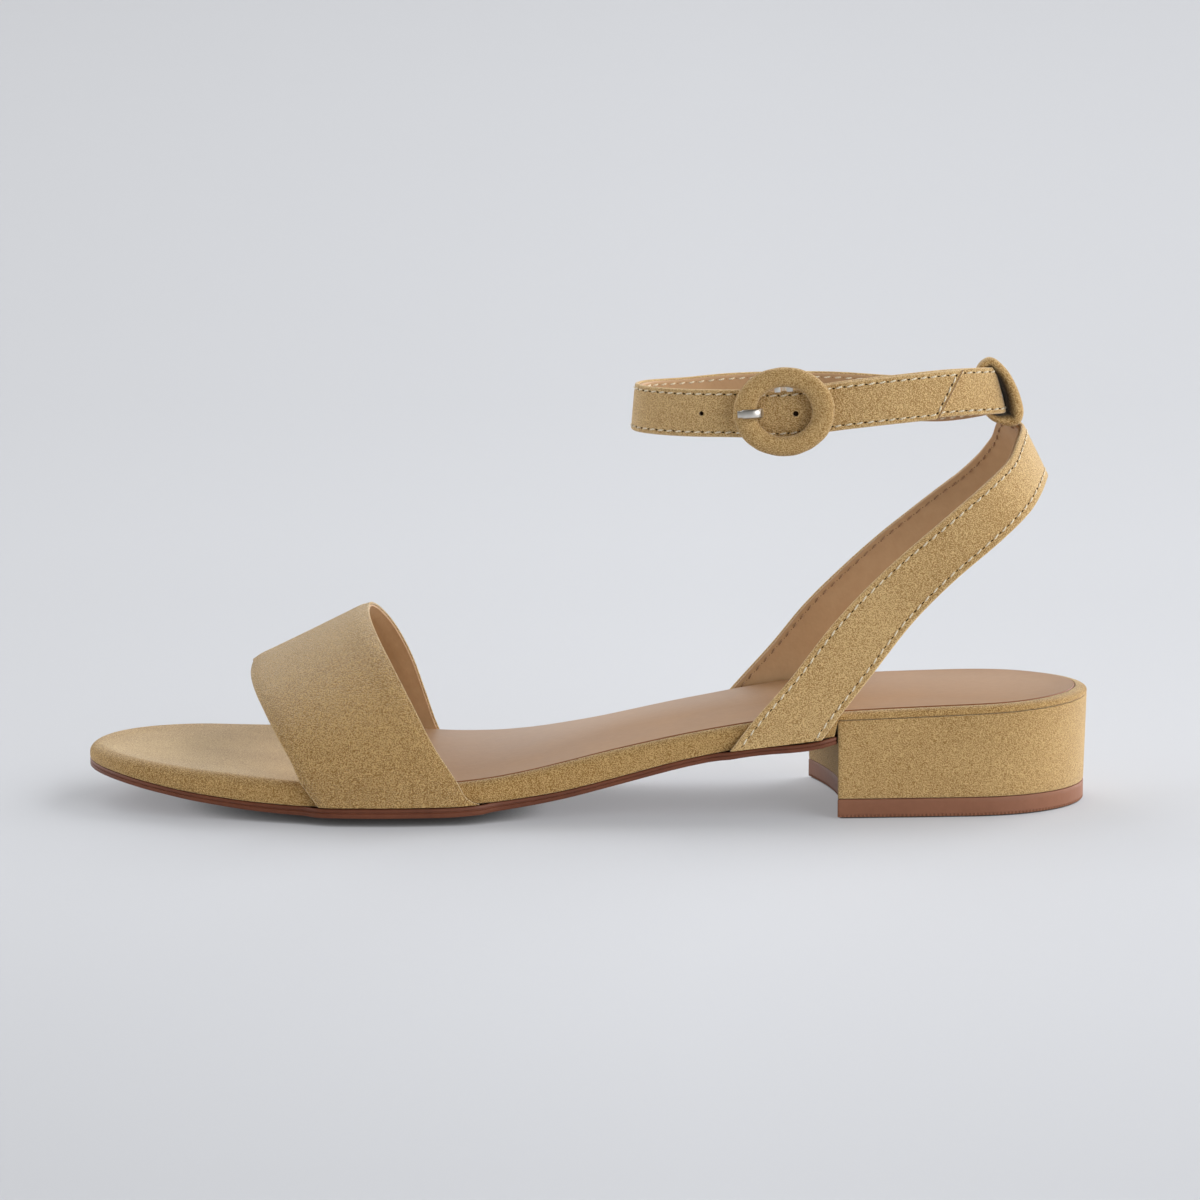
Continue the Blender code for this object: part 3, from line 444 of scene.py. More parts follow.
def plyPiece(name, grid, normals, edge, low, high, material, closed=False, groove=None, skive=None,
             tip=None):
    # one ply of a strap between two offsets from its middle surface, its cut edge turned over
    if skive is not None:
        thin = 1 - skive["share"] * (1 - ease(edge / skive["reach"]))
        low = low * thin
        high = high * thin
    radius = np.broadcast_to((high - low) / 2, edge.shape)
    turn = np.clip(edge / radius, 0.0, 1.0)
    pull = radius * (1 - np.sqrt(1 - (1 - turn) ** 2))
    top = high - pull
    bottom = low + pull
    if groove is not None:
        worn = groove["depth"] * np.exp(-((edge - groove["inset"]) / groove["width"]) ** 2)
        top = top - worn
    upper = grid + normals * top[..., None]
    lower = grid + normals * bottom[..., None]
    rows, columns = edge.shape
    count = rows * columns
    points = np.concatenate([upper.reshape(-1, 3), lower.reshape(-1, 3)])
    faces = [gridFaces(rows, columns, 0, closed), gridFaces(rows, columns, count, closed, True)]
    index = np.arange(count).reshape(rows, columns)
    sides = [(index[:, 0], closed), (index[:, -1], closed)]
    if not closed:
        sides += [(index[0], False), (index[-1], False)]
    for line, loop in sides:
        ahead = np.roll(line, -1) if loop else line[1:]
        here = line if loop else line[:-1]
        faces.append(np.stack([here, ahead, ahead + count, here + count], axis=1))
    depth = [(high - face) / (2 * radius) for face in (top, bottom)]
    marks = {
        "edgeDistance": np.concatenate([edge.ravel(), edge.ravel()]),
        "foldDepth": np.concatenate([d.ravel() for d in depth]),
    }
    if tip is not None:
        marks["tipDistance"] = np.tile(np.repeat(tip, columns), 2)
    return makePiece(name, points, np.concatenate(faces), material, marks)


thread = {
    "radius": 0.22,
    "sides": 7,
    "bends": 9,
    "rise": 0.22,
    "sink": 0.3,             # its ends go down into the holes
    "slant": 0.16,
    "cover": 0.7,            # share of the pitch
    "archPower": 0.55,
    "taperPower": 0.4,
    "tip": 0.15,             # share of the radius left at its ends
    "spare": 0.3,            # left free at the ends of a row
}
needle = {"radius": 0.33, "sides": 10, "stretch": 1.25, "swell": 0.03, "depth": 0.2, "reach": 0.3}


def stitchRow(line, normals, pitch):
    # thread, and needle holes as dark marks of painted shadow, along a line that lies on the face of a strap
    run = runLength(line)
    count = int((run[-1] - thread["spare"]) / pitch)
    start = (run[-1] - count * pitch) / 2
    t = np.linspace(0.0, 1.0, thread["bends"])
    where = start + (np.arange(count)[:, None] + 0.5 + (t[None] - 0.5) * thread["cover"]) * pitch
    middle = pointAt(line, run, where)
    up = unit(pointAt(normals, run, where))
    side = unit(np.cross(up, unit(np.gradient(middle, axis=1))))
    arch = np.sin(math.pi * t)
    height = (thread["rise"] + thread["sink"]) * arch ** thread["archPower"] - thread["sink"]
    middle = middle + up * height[:, None] + side * (thread["slant"] * (2 * t - 1))[:, None]
    radius = thread["radius"] * np.clip(arch ** thread["taperPower"], thread["tip"], 1.0)
    angle = circle(thread["sides"])[:, None]
    swing = side[:, :, None] * np.cos(angle) + up[:, :, None] * np.sin(angle)
    points = (middle[:, :, None] + swing * radius[:, None, None]).reshape(-1, 3)
    faces = []
    for k in range(count):
        first = k * thread["bends"] * thread["sides"]
        faces += tubeFaces(thread["bends"], thread["sides"], first, capped=True)

    holes = start + np.arange(count + 1) * pitch
    centre = pointAt(line, run, holes)
    up = unit(pointAt(normals, run, holes))
    behind = pointAt(line, run, np.maximum(holes - needle["reach"], 0))
    ahead = unit(pointAt(line, run, np.minimum(holes + needle["reach"], run[-1])) - behind)
    side = unit(np.cross(up, ahead))
    angle = circle(needle["sides"])[:, None]
    rim = ahead[:, None] * np.cos(angle) * needle["stretch"] + side[:, None] * np.sin(angle)
    rim = centre[:, None] + rim * needle["radius"]
    top = (centre + up * needle["swell"])[:, None]
    base = (centre - up * needle["depth"])[:, None]
    holePoints = np.concatenate([rim, top, base], axis=1).reshape(-1, 3)
    holeFaces = []
    for k in range(count + 1):
        holeFaces += lensFaces(needle["sides"], k * (needle["sides"] + 2))
    return (points, faces), (holePoints, holeFaces)


def joined(parts):
    points = []
    faces = []
    start = 0
    for part in parts:
        points.append(part[0])
        faces += [[v + start for v in face] for face in part[1]]
        start += len(part[0])
    return np.concatenate(points), faces


def sewRows(name, rows, pitch, threadMaterial, holeShadowMaterial):
    sewn = [stitchRow(line, normals, pitch) for line, normals in rows]
    makePiece(name + "Thread", *joined([s[0] for s in sewn]), threadMaterial, weld=0.0005)
    makePiece(name + "NeedleHoleShadows", *joined([s[1] for s in sewn]), holeShadowMaterial, weld=0.0005)


# materials

def put(tree, kind, sockets=None, **settings):
    node = tree.nodes.new(kind)
    for key, value in settings.items():
        setattr(node, key, value)
    for key, value in (sockets or {}).items():
        if isinstance(value, bpy.types.NodeSocket):
            tree.links.new(value, node.inputs[key])
        else:
            node.inputs[key].default_value = value
    return node


def maths(tree, operation, a, b=0.0, c=0.0):
    return put(tree, "ShaderNodeMath", {0: a, 1: b, 2: c}, operation=operation).outputs[0]


def noise(tree, vector, scale, detail=2.0, roughness=0.5):
    sockets = {"Vector": vector, "Scale": scale, "Detail": detail, "Roughness": roughness}
    return put(tree, "ShaderNodeTexNoise", sockets).outputs["Fac"]


def blendTone(tree, factor, a, b):
    # a colour mix has its sockets at 6 and 7, and its result at 2
    return put(tree, "ShaderNodeMix", {0: factor, 6: a, 7: b}, data_type="RGBA").outputs[2]


def spread(tree, value, low, high, toLow, toHigh):
    sockets = {"Value": value, "From Min": low, "From Max": high, "To Min": toLow, "To Max": toHigh}
    return put(tree, "ShaderNodeMapRange", sockets).outputs[0]


def weighed(tree, a, b, share):
    return maths(tree, "ADD", maths(tree, "MULTIPLY", a, 1 - share), maths(tree, "MULTIPLY", b, share))


def objectPlace(tree):
    return put(tree, "ShaderNodeTexCoord").outputs["Object"]


def stretched(tree, vector, scale):
    return put(tree, "ShaderNodeMapping", {"Vector": vector, "Scale": scale}).outputs["Vector"]


def carried(tree, name):
    # a value that the mesh carries at each point
    return put(tree, "ShaderNodeAttribute", attribute_name=name).outputs["Fac"]


def newGroup(name, inputs, outputs):
    group = bpy.data.node_groups.new(name, "ShaderNodeTree")
    for label, kind, value in inputs:
        socket = group.interface.new_socket(name=label, in_out="INPUT", socket_type=kind)
        socket.default_value = value
    for label, kind in outputs:
        group.interface.new_socket(name=label, in_out="OUTPUT", socket_type=kind)
    return group, put(group, "NodeGroupInput").outputs, put(group, "NodeGroupOutput").inputs


surfaceOutputs = [
    ("Color", "NodeSocketColor"),
    ("Roughness", "NodeSocketFloat"),
    ("Height", "NodeSocketFloat"),
]
napForm = {
    "stretch": (0.75, 1.0, 1.0),
    "tuftScale": 0.3,        # of the fibre scale
    "tuftShare": 0.07,
    "brushScale": 34.0,
    "rough": (0.98, 0.8),    # between the fibres and on their tips
}
grainForm = {
    "cloudScale": 45.0,
    "streakScale": 0.3,      # of the pore scale
    "streakTone": 0.3,
    "streakHeight": 0.4,
    "worn": (0.35, 0.65),
    "glossSwing": 0.18,
}


def makeSuedeNap():
    inputs = [
        ("Dark", "NodeSocketColor", (0.2, 0.12, 0.05, 1)),
        ("Light", "NodeSocketColor", (0.5, 0.33, 0.16, 1)),
        ("Fibre Scale", "NodeSocketFloat", 1500.0),
        ("Brushing", "NodeSocketFloat", 0.3),
        ("Speckle", "NodeSocketFloat", 2.0),
    ]
    tree, entry, leave = newGroup("suedeNap", inputs, surfaceOutputs)
    place = stretched(tree, objectPlace(tree), napForm["stretch"])
    scale = entry["Fibre Scale"]
    fibre = noise(tree, place, scale, 1.0)
    tuft = noise(tree, place, maths(tree, "MULTIPLY", scale, napForm["tuftScale"]), 1.0)
    brushed = noise(tree, place, napForm["brushScale"], roughness=0.55)
    nap = weighed(tree, fibre, tuft, napForm["tuftShare"])
    uneven = maths(tree, "MULTIPLY", maths(tree, "SUBTRACT", brushed, 0.5), entry["Brushing"])
    speck = maths(tree, "SUBTRACT", maths(tree, "ADD", nap, uneven), 0.5)
    factor = maths(tree, "MULTIPLY_ADD", speck, entry["Speckle"], 0.5)
    tree.links.new(blendTone(tree, factor, entry["Dark"], entry["Light"]), leave["Color"])
    tree.links.new(spread(tree, nap, 0.2, 0.8, *napForm["rough"]), leave["Roughness"])
    tree.links.new(nap, leave["Height"])
    return tree


def makeLeatherGrain():
    inputs = [
        ("Tone", "NodeSocketColor", (0.4, 0.25, 0.15, 1)),
        ("Shade", "NodeSocketColor", (0.3, 0.18, 0.1, 1)),
        ("Pore Scale", "NodeSocketFloat", 1100.0),
        ("Gloss", "NodeSocketFloat", 0.4),
    ]
    tree, entry, leave = newGroup("leatherGrain", inputs, surfaceOutputs)
    place = objectPlace(tree)
    scale = entry["Pore Scale"]
    cells = put(tree, "ShaderNodeTexVoronoi", {"Vector": place, "Scale": scale}, feature="SMOOTH_F1")
    cloud = noise(tree, place, grainForm["cloudScale"], 3.0, 0.55)
    streak = noise(tree, place, maths(tree, "MULTIPLY", scale, grainForm["streakScale"]))
    worn = weighed(tree, cloud, streak, grainForm["streakTone"])
    factor = spread(tree, worn, *grainForm["worn"], 0.0, 1.0)
    tree.links.new(blendTone(tree, factor, entry["Shade"], entry["Tone"]), leave["Color"])
    cloudy = maths(tree, "SUBTRACT", cloud, 0.5)
    rough = maths(tree, "MULTIPLY_ADD", cloudy, grainForm["glossSwing"], entry["Gloss"])
    tree.links.new(rough, leave["Roughness"])
    height = weighed(tree, cells.outputs["Distance"], streak, grainForm["streakHeight"])
    tree.links.new(height, leave["Height"])
    return tree


def makeEdgeShade():
    # 1 at a cut edge, 0 inside
    inputs = [("Reach", "NodeSocketFloat", 0.8)]
    tree, entry, leave = newGroup("edgeShade", inputs, [("Mask", "NodeSocketFloat")])
    share = maths(tree, "DIVIDE", carried(tree, "edgeDistance"), entry["Reach"])
    tree.links.new(spread(tree, share, 0.0, 1.0, 1.0, 0.0), leave["Mask"])
    return tree


suedeNap = makeSuedeNap()
leatherGrain = makeLeatherGrain()
edgeShade = makeEdgeShade()


def newMaterial(name, plain):
    material = bpy.data.materials.new(name)
    material.use_nodes = True
    tree = material.node_tree
    shader = tree.nodes["Principled BSDF"]
    for key, value in plain.items():
        shader.inputs[key].default_value = value
    return material, tree, shader.inputs


def useGroup(tree, group, sockets):
    return put(tree, "ShaderNodeGroup", sockets, node_tree=group).outputs


def addBump(tree, shader, height, strength, distance):
    sockets = {"Height": height, "Strength": strength, "Distance": distance}
    tree.links.new(put(tree, "ShaderNodeBump", sockets).outputs["Normal"], shader["Normal"])


suede = {
    "dark": (0.302, 0.168, 0.053),
    "light": (0.602, 0.41, 0.184),
    # painted highlight along a rolled edge: its colour and reach
    "edge": (0.64, 0.46, 0.24),
    "highlightReach": 0.5,
    "plain": {"Specular IOR Level": 0.15, "Sheen Roughness": 0.45, "Sheen Tint": (1.0, 0.93, 0.79, 1)},
    "nap": {"Fibre Scale": 4400.0, "Brushing": 0.16},
    "depth": 0.0005,
    "flatNap": {"Speckle": 6.0, "Brushing": 0.35},       # where it is brushed flat
    "flatReach": 4.0,
    "flatFade": (0.72, 1.4),
    "flatRagged": 0.9,       # how far the fibres break up that border
    "flatDepth": 0.25,
}


def shaded(tone, factor, warm=1.0):
    # above 1, warm takes out blue and a little green
    return (tone[0] * factor, tone[1] * factor / warm ** 0.3, tone[2] * factor / warm, 1)


def makeSuede(name, tone=1.0, warm=1.0, speckle=6.5, bump=0.6, sheen=0.32, edgeHighlight=0.0, flatTone=None,
              foldShadow=None, rawTip=None):
    material, tree, shader = newMaterial(name, suede["plain"])
    shader["Sheen Weight"].default_value = sheen
    values = {"Dark": shaded(suede["dark"], tone, warm), "Light": shaded(suede["light"], tone, warm)}
    nap = useGroup(tree, suedeNap, {**values, **suede["nap"], "Speckle": speckle})
    colour = nap["Color"]
    height = nap["Height"]
    # painted highlight: a pale line where a strap's rolled edge catches the light
    if edgeHighlight:
        mask = useGroup(tree, edgeShade, {"Reach": suede["highlightReach"]})["Mask"]
        mask = maths(tree, "MULTIPLY", mask, edgeHighlight)
        colour = blendTone(tree, mask, colour, shaded(suede["edge"], tone))
    if rawTip:
        # brown where the end of a strap is cut
        cutEnd = spread(tree, carried(tree, "tipDistance"), *rawTip["reach"], 1.0, 0.0)
        colour = blendTone(tree, cutEnd, colour, rawTip["tone"])
    if flatTone:
        # rough on the side, brushed flat on the top
        mask = useGroup(tree, edgeShade, {"Reach": suede["flatReach"]})["Mask"]
        ragged = maths(tree, "MULTIPLY_ADD", height, suede["flatRagged"], mask)
        rough = spread(tree, ragged, *suede["flatFade"], 0.0, 1.0)
        values = {"Dark": shaded(suede["dark"], flatTone), "Light": shaded(suede["light"], flatTone)}
        flat = useGroup(tree, suedeNap, {**values, **suede["nap"], **suede["flatNap"]})
        colour = blendTone(tree, rough, flat["Color"], colour)
        raised = maths(tree, "MULTIPLY_ADD", rough, 1 - suede["flatDepth"], suede["flatDepth"])
        height = maths(tree, "MULTIPLY", height, raised)
    if foldShadow:
        # painted shadow: dark in the fold of a keeper, where its inside lies in shade
        foldShadowMask = spread(tree, carried(tree, "foldDepth"), *foldShadow["reach"], 0.0, 1.0)
        colour = blendTone(tree, foldShadowMask, colour, foldShadow["tone"])
    tree.links.new(colour, shader["Base Color"])
    tree.links.new(nap["Roughness"], shader["Roughness"])
    addBump(tree, shader, height, bump, suede["depth"])
    return material


def makeLeather(name, values, bump, plain, edgeTone=None, reach=0.8, paintedSheen=0.0):
    material, tree, shader = newMaterial(name, plain)
    grain = useGroup(tree, leatherGrain, values)
    tone = grain["Color"]
    if edgeTone is not None:
        tone = blendTone(tree, useGroup(tree, edgeShade, {"Reach": reach})["Mask"], tone, edgeTone)
    # painted sheen: a coat laid on by the mask, standing for a reflection on the far side
    if paintedSheen:
        tree.links.new(maths(tree, "MULTIPLY", carried(tree, "paintedSheen"), paintedSheen), shader["Coat Weight"])
    tree.links.new(tone, shader["Base Color"])
    tree.links.new(grain["Roughness"], shader["Roughness"])
    addBump(tree, shader, grain["Height"], bump, distance=0.0003)
    return material


def makeThread(name, tone, shade=0.72):
    # twisted yarn: fine slanted plies across each stitch
    plain = {"Roughness": 0.75, "Sheen Weight": 0.2, "Specular IOR Level": 0.25}
    material, tree, shader = newMaterial(name, plain)
    wave = {"Vector": objectPlace(tree), "Scale": 900.0, "Distortion": 1.5}
    ply = put(tree, "ShaderNodeTexWave", wave, bands_direction="DIAGONAL").outputs["Fac"]
    tree.links.new(blendTone(tree, ply, shaded(tone, shade), tone), shader["Base Color"])
    addBump(tree, shader, ply, 0.5, distance=0.0001)
    return material


# painted shadow: the dark inside of a hole, as a mark on the surface; lighter in the lining
def makeHoleShadowMaterial(name, dark, light):
    material, tree, shader = newMaterial(name, {"Roughness": 0.95, "Specular IOR Level": 0.05})
    grain = noise(tree, objectPlace(tree), 2600.0, roughness=0.6)
    tree.links.new(blendTone(tree, grain, dark, light), shader["Base Color"])
    return material


steel = {
    "tone": (0.74, 0.71, 0.66, 1),
    "tarnish": (0.6, 0.57, 0.52, 1),
    "tarnishScale": 260.0,
    "lines": (90.0, 700.0, 500.0),       # how fine, along and across the wire
    "rough": (0.3, 0.42),
}


def makeSteel():
    # drawn wire: faint lines and a little tarnish
    material, tree, shader = newMaterial("polishedSteel", {"Metallic": 1.0})
    place = objectPlace(tree)
    lines = noise(tree, stretched(tree, place, steel["lines"]), 1.0)
    dull = spread(tree, noise(tree, place, steel["tarnishScale"]), 0.35, 0.7, 0.0, 1.0)
    tree.links.new(blendTone(tree, dull, steel["tone"], steel["tarnish"]), shader["Base Color"])
    tree.links.new(spread(tree, lines, 0.3, 0.7, *steel["rough"]), shader["Roughness"])
    addBump(tree, shader, lines, 0.04, distance=0.0001)
    return material


def leatherValues(tone, shade, poreScale, gloss):
    return {"Tone": (*tone, 1), "Shade": (*shade, 1), "Pore Scale": poreScale, "Gloss": gloss}


liningValues = leatherValues((0.503, 0.322, 0.174), (0.43, 0.264, 0.135), 1300.0, 0.52)
sockValues = leatherValues((0.362, 0.206, 0.1), (0.314, 0.173, 0.08), 1500.0, 0.46)
outsoleValues = leatherValues((0.168, 0.053, 0.024), (0.121, 0.036, 0.016), 1700.0, 0.45)
rubberValues = leatherValues((0.26, 0.11, 0.06), (0.22, 0.091, 0.048), 2000.0, 0.5)
leatherPlain = {"Specular IOR Level": 0.25}
sockPlain = {"Specular IOR Level": 0.2, "Coat Roughness": 0.45}
outsolePlain = {"Specular IOR Level": 0.3}
rawTip = {"reach": (0.4, 0.8), "tone": (0.2, 0.105, 0.035, 1)}
# painted shadow in the keeper's fold: the fold depths over which it comes in, and its colour
keeperFoldShadow = {"reach": (0.5, 0.95), "tone": (0.02, 0.012, 0.006, 1)}

# painted light in part: the sling and ankle strap are made lighter and paler where more light falls on them,
# and the band and footbed warmer for their shade; the rest is difference between pieces
bandSuede = makeSuede("bandSuede", tone=0.94, warm=1.15, speckle=15.0, bump=1.0, sheen=0.7, edgeHighlight=0.5)
footbedSuede = makeSuede("footbedSuede", tone=0.93, warm=1.15, speckle=7.2, flatTone=0.7)
heelSuede = makeSuede("heelSuede", tone=0.99, warm=1.02, speckle=4.9, sheen=0.4)
slingSuede = makeSuede("slingSuede", tone=1.1, warm=0.94, speckle=5.8, sheen=0.55, edgeHighlight=0.4)
loopSuede = makeSuede("loopSuede", tone=1.0, foldShadow=keeperFoldShadow)
ankleSuede = makeSuede("ankleSuede", tone=1.1, warm=0.93, speckle=7.2, sheen=0.5, edgeHighlight=0.4,
                       rawTip=rawTip)
ringSuede = makeSuede("ringSuede", tone=0.98, speckle=4.6)
strapLining = makeLeather("strapLining", liningValues, 0.2, leatherPlain, (0.46, 0.29, 0.16, 1), reach=0.5)
sockEdge = (0.22, 0.085, 0.035, 1)
sockLeather = makeLeather("sockLeather", sockValues, 0.16, sockPlain, sockEdge, reach=0.6, paintedSheen=0.85)
outsoleSheet = makeLeather("outsoleSheet", outsoleValues, 0.15, outsolePlain)
topPieceRubber = makeLeather("topPieceRubber", rubberValues, 0.15, leatherPlain)
creamThread = makeThread("creamThread", (0.84, 0.73, 0.53, 1))
tanThread = makeThread("tanThread", (0.36, 0.21, 0.11, 1))
needleHoleShadow = makeHoleShadowMaterial("needleHoleShadow", (0.012, 0.007, 0.004, 1), (0.06, 0.035, 0.018, 1))
liningHoleShadow = makeHoleShadowMaterial("liningHoleShadow", (0.09, 0.05, 0.027, 1), (0.18, 0.1, 0.055, 1))
polishedSteel = makeSteel()
print("materials made")


# outsole, footbed and sock

soleSteps = {
    "heel": bunched(0.0, 56.0, 40, "first"),
    "seat": np.linspace(57.0, 75.0, 19),
    "waist": np.linspace(77.0, 180.0, 42),
    "toe": np.concatenate([np.linspace(181.0, 186.0, 6), bunched(187.0, sole["length"], 46, "last")]),
}
underShares = (0.0, 0.2, 0.38, 0.5, 0.6, 0.7, 0.8, 0.9)
quarterTurn = np.radians((0, 30, 60, 90))
farInside = 5.0              # distance from the edge that counts as none

footbed = {
    "rim": 1.8,
    "rimDrop": 2.2,
    "rimSteps": 9,
    "dropShare": 0.62,       # most of the side's height that the rim takes
    "heelRim": 2.8,          # broader behind the heel
    "heelOver": 22.0,
    "toeRim": 3.0,           # softer round the toe
    "toeDrop": 3.2,
    "toeFrom": 190.0,
    "toeOver": 25.0,
    "foot": 0.35,
    "bedStep": 0.4,
    "bedDepth": 1.4,
    "bedFront": 181.0,
    "bedRamp": 1.2,
    "topShares": (0.8, 0.62, 0.45, 0.3, 0.15, 0.0),
}
insole = {
    "corner": 5.0,           # room at the front corners for the rings inside the edge
    "thickness": 1.35,
    "front": 182.0,
    "frontSteps": 28,
    "middle": (22.0, 160.0),
    "half": 27.0,
    "edge": 0.23,
    "edgeSteps": (0.7, 1.4),
    "edgeOver": 1.8,
    "lap": 0.25,             # its edge lies this far in from the rim
    "underShares": (0.0, 0.3, 0.62, 0.8),
    "topShares": (0.72, 0.62, 0.5, 0.4, 0.3, 0.2, 0.1, 0.0),
    "heelFrom": 14.0,
    "columns": ("along", "sheenFrom"),      # share of the width where the painted sheen begins
    "rows": [(0, -0.8), (20, -0.5), (45, -0.15), (110, 0.15), (140, -0.35), (182, -0.6)],
}
outsole = {
    "edge": 0.35,
    "grooveAt": 0.56,
    "grooveHalf": 0.1,
    "grooveDepth": 0.22,
    "grooveForm": ((-1.0, 0.0), (-0.4, 1.0), (0.4, 1.0), (1.0, 0.0)),
    "middle": (76.0, 224.0),
    "rearEnd": 75.5,
    "rearSteps": 12,
    "breastSteps": 30,
}


def turnUp(ringAt, low, radius, turns=quarterTurn):
    # rings from an underside up to a side; ringAt(distance) is the outline set in
    return [lifted(ringAt(radius * (1 - math.sin(t))), low + radius * (1 - math.cos(t))) for t in turns]


def turnOver(ringAt, high, radius, drop, turns=quarterTurn):
    # rings from a side over to a top
    return [lifted(ringAt(radius * (1 - math.cos(t))), high - drop * (1 - math.sin(t))) for t in turns]


def drawnIn(points, spine, shares, heightAt):
    # rings drawn in towards the middle line
    rings = [spine + (points - spine) * share for share in shares]
    return [lifted(ring, heightAt(ring, share)) for ring, share in zip(rings, shares)]


def makeOutsole():
    fore = np.concatenate([soleSteps["waist"], soleSteps["toe"]])
    ends = [breastAtEdge(side, outsoleHalf) + sole["clear"] for side in (outerSide, innerSide)]
    rear = [np.linspace(end, outsole["rearEnd"], outsole["rearSteps"]) for end in ends]
    outerAlong, innerAlong = (np.concatenate([steps, fore]) for steps in rear)
    corners = outsoleHalf(ends[1], innerSide), -outsoleHalf(ends[0], outerSide)
    cut = breastLine(*corners, outsole["breastSteps"], sole["clear"])
    points, spine = soleOutline(outerAlong, innerAlong, outsoleHalf, rearCut=cut, ends=outsole["middle"])
    low = tread(points[:, 0], sideShare(points, 1.0))
    high = treadTop(points[:, 0], sideShare(points, 1.0))
    edge = outsole["edge"]

    def ringAt(distance):
        return insetOutline(points, distance)

    def underAt(ring, share):
        return tread(ring[:, 0], sideShare(ring, share))

    def topAt(ring, share):
        return treadTop(ring[:, 0], sideShare(ring, share))

    rings = drawnIn(points, spine, underShares, underAt)
    rings += turnUp(ringAt, low, edge)
    for place, depth in outsole["grooveForm"]:
        rise = outsole["grooveAt"] + place * outsole["grooveHalf"]
        rings.append(lifted(ringAt(outsole["grooveDepth"] * depth), low + (high - low) * rise))
    rings += turnOver(ringAt, high, edge, edge)
    rings += drawnIn(points, spine, underShares[::-1], topAt)
    piece = ringLoft("outsole", rings, outsoleSheet)
    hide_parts("outsole")


def toeEase(along):
    return ease((along - footbed["toeFrom"]) / footbed["toeOver"])


def bedRim(along):
    atHeel = (footbed["heelRim"] - footbed["rim"]) * ease(1 - along / footbed["heelOver"])
    return footbed["rim"] + atHeel + (footbed["toeRim"] - footbed["rim"]) * toeEase(along)


def makeFootbed():
    along = np.concatenate([soleSteps[k] for k in ("heel", "seat", "waist", "toe")])
    points, spine = soleOutline(along, along, halfWidth)
    here = points[:, 0]
    low = bedUnderside(here, points[:, 1], 1.0)
    seat = soleAt("seat", here)
    rim = bedRim(here)
    drop = footbed["rimDrop"] + (footbed["toeDrop"] - footbed["rimDrop"]) * toeEase(here)
    drop = np.minimum(drop, footbed["dropShare"] * (seat - low))
    turns = np.linspace(0, math.pi / 2, footbed["rimSteps"])

    def ringAt(distance):
        return insetOutline(points, distance)

    def bed(along):
        return footbed["bedDepth"] * np.clip((footbed["bedFront"] - along) / footbed["bedRamp"], 0.0, 1.0)

    def underAt(ring, share):
        return bedUnderside(ring[:, 0], ring[:, 1], share)

    def topAt(ring, share):
        return soleAt("seat", ring[:, 0]) - bed(ring[:, 0]) - dish(ring[:, 0], share)

    rings = drawnIn(points, spine, underShares, underAt)
    rings += turnUp(ringAt, low, footbed["foot"])
    edge = [0.0] * len(rings)
    rings += turnOver(ringAt, seat, rim, drop, turns)
    edge += (footbed["rimDrop"] * turns / turns[-1]).tolist()
    for step in (0.5, 1.0):
        rings.append(lifted(ringAt(rim + footbed["bedStep"] * step), seat - bed(here) * step ** 2))
        edge.append(footbed["rimDrop"] + footbed["bedStep"] * step)
    rings += drawnIn(points, spine, footbed["topShares"], topAt)
    edge += [farInside] * len(footbed["topShares"])
    piece = ringLoft("footbed", rings, footbedSuede, {"edgeDistance": np.repeat(edge, len(points))})
    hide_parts("footbed")


def sockSheenMask(points):
    # painted sheen: 1 at the inner edge, where a grazing reflection lies, falling towards the outer one
    along = np.clip(points[:, 0], insole["heelFrom"], insole["front"])
    outer, inner = (halfWidth(along, side) for side in (outerSide, innerSide))
    share = (points[:, 1] - (inner - outer) / 2) / ((inner + outer) / 2)
    first = tableCurve(insole, "sheenFrom", along)
    return np.clip((share - first) / (1 - first), 0.0, 1.0)


def makeInsole():
    steps = np.concatenate([soleSteps[k] for k in ("heel", "seat", "waist")])
    steps = np.append(steps[steps < insole["front"] - insole["corner"]], insole["front"])
    ends = [halfWidth(insole["front"], side) - insole["corner"] for side in (outerSide, innerSide)]
    across = np.linspace(-ends[0], ends[1], insole["frontSteps"])
    front = np.stack([np.full(len(across), insole["front"]), across], axis=1)
    points, spine = soleOutline(steps, steps, halfWidth, frontCut=front, ends=insole["middle"])
    inset = bedRim(points[:, 0]) + insole["lap"]
    low = footbed["bedDepth"] - sole["clear"]
    high = low - insole["thickness"]

    def ringAt(distance):
        return insetOutline(points, inset + distance)

    def underAt(ring, share):
        return soleAt("seat", ring[:, 0]) - low - dish(ring[:, 0], share)

    def topAt(ring, share):
        return soleAt("seat", ring[:, 0]) - high - dish(ring[:, 0], share)

    border = ringAt(footbed["bedStep"])
    seat = soleAt("seat", border[:, 0])
    rings = drawnIn(points, spine, insole["underShares"], underAt)
    rings.append(lifted(border, seat - low))
    edge = [0.0] * len(rings)
    rings += turnOver(ringAt, seat - high, insole["edge"], insole["edge"])
    edge += (insole["edge"] * (1 - np.cos(quarterTurn))).tolist()
    for step in insole["edgeSteps"]:
        ring = ringAt(step)
        share = 1 - (footbed["rim"] + insole["lap"] + step) / insole["half"]
        sunk = dish(ring[:, 0], share) * step / insole["edgeOver"]
        rings.append(lifted(ring, soleAt("seat", ring[:, 0]) - high - sunk))
        edge.append(step)
    rings += drawnIn(points, spine, insole["topShares"], topAt)
    edge += [farInside] * len(insole["topShares"])
    marks = {"edgeDistance": np.repeat(edge, len(points)), "paintedSheen": sockSheenMask(np.concatenate(rings))}
    piece = ringLoft("insole", rings, sockLeather, marks)
    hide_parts("insole")


makeOutsole()
makeFootbed()
makeInsole()
print("sole made")


# heel

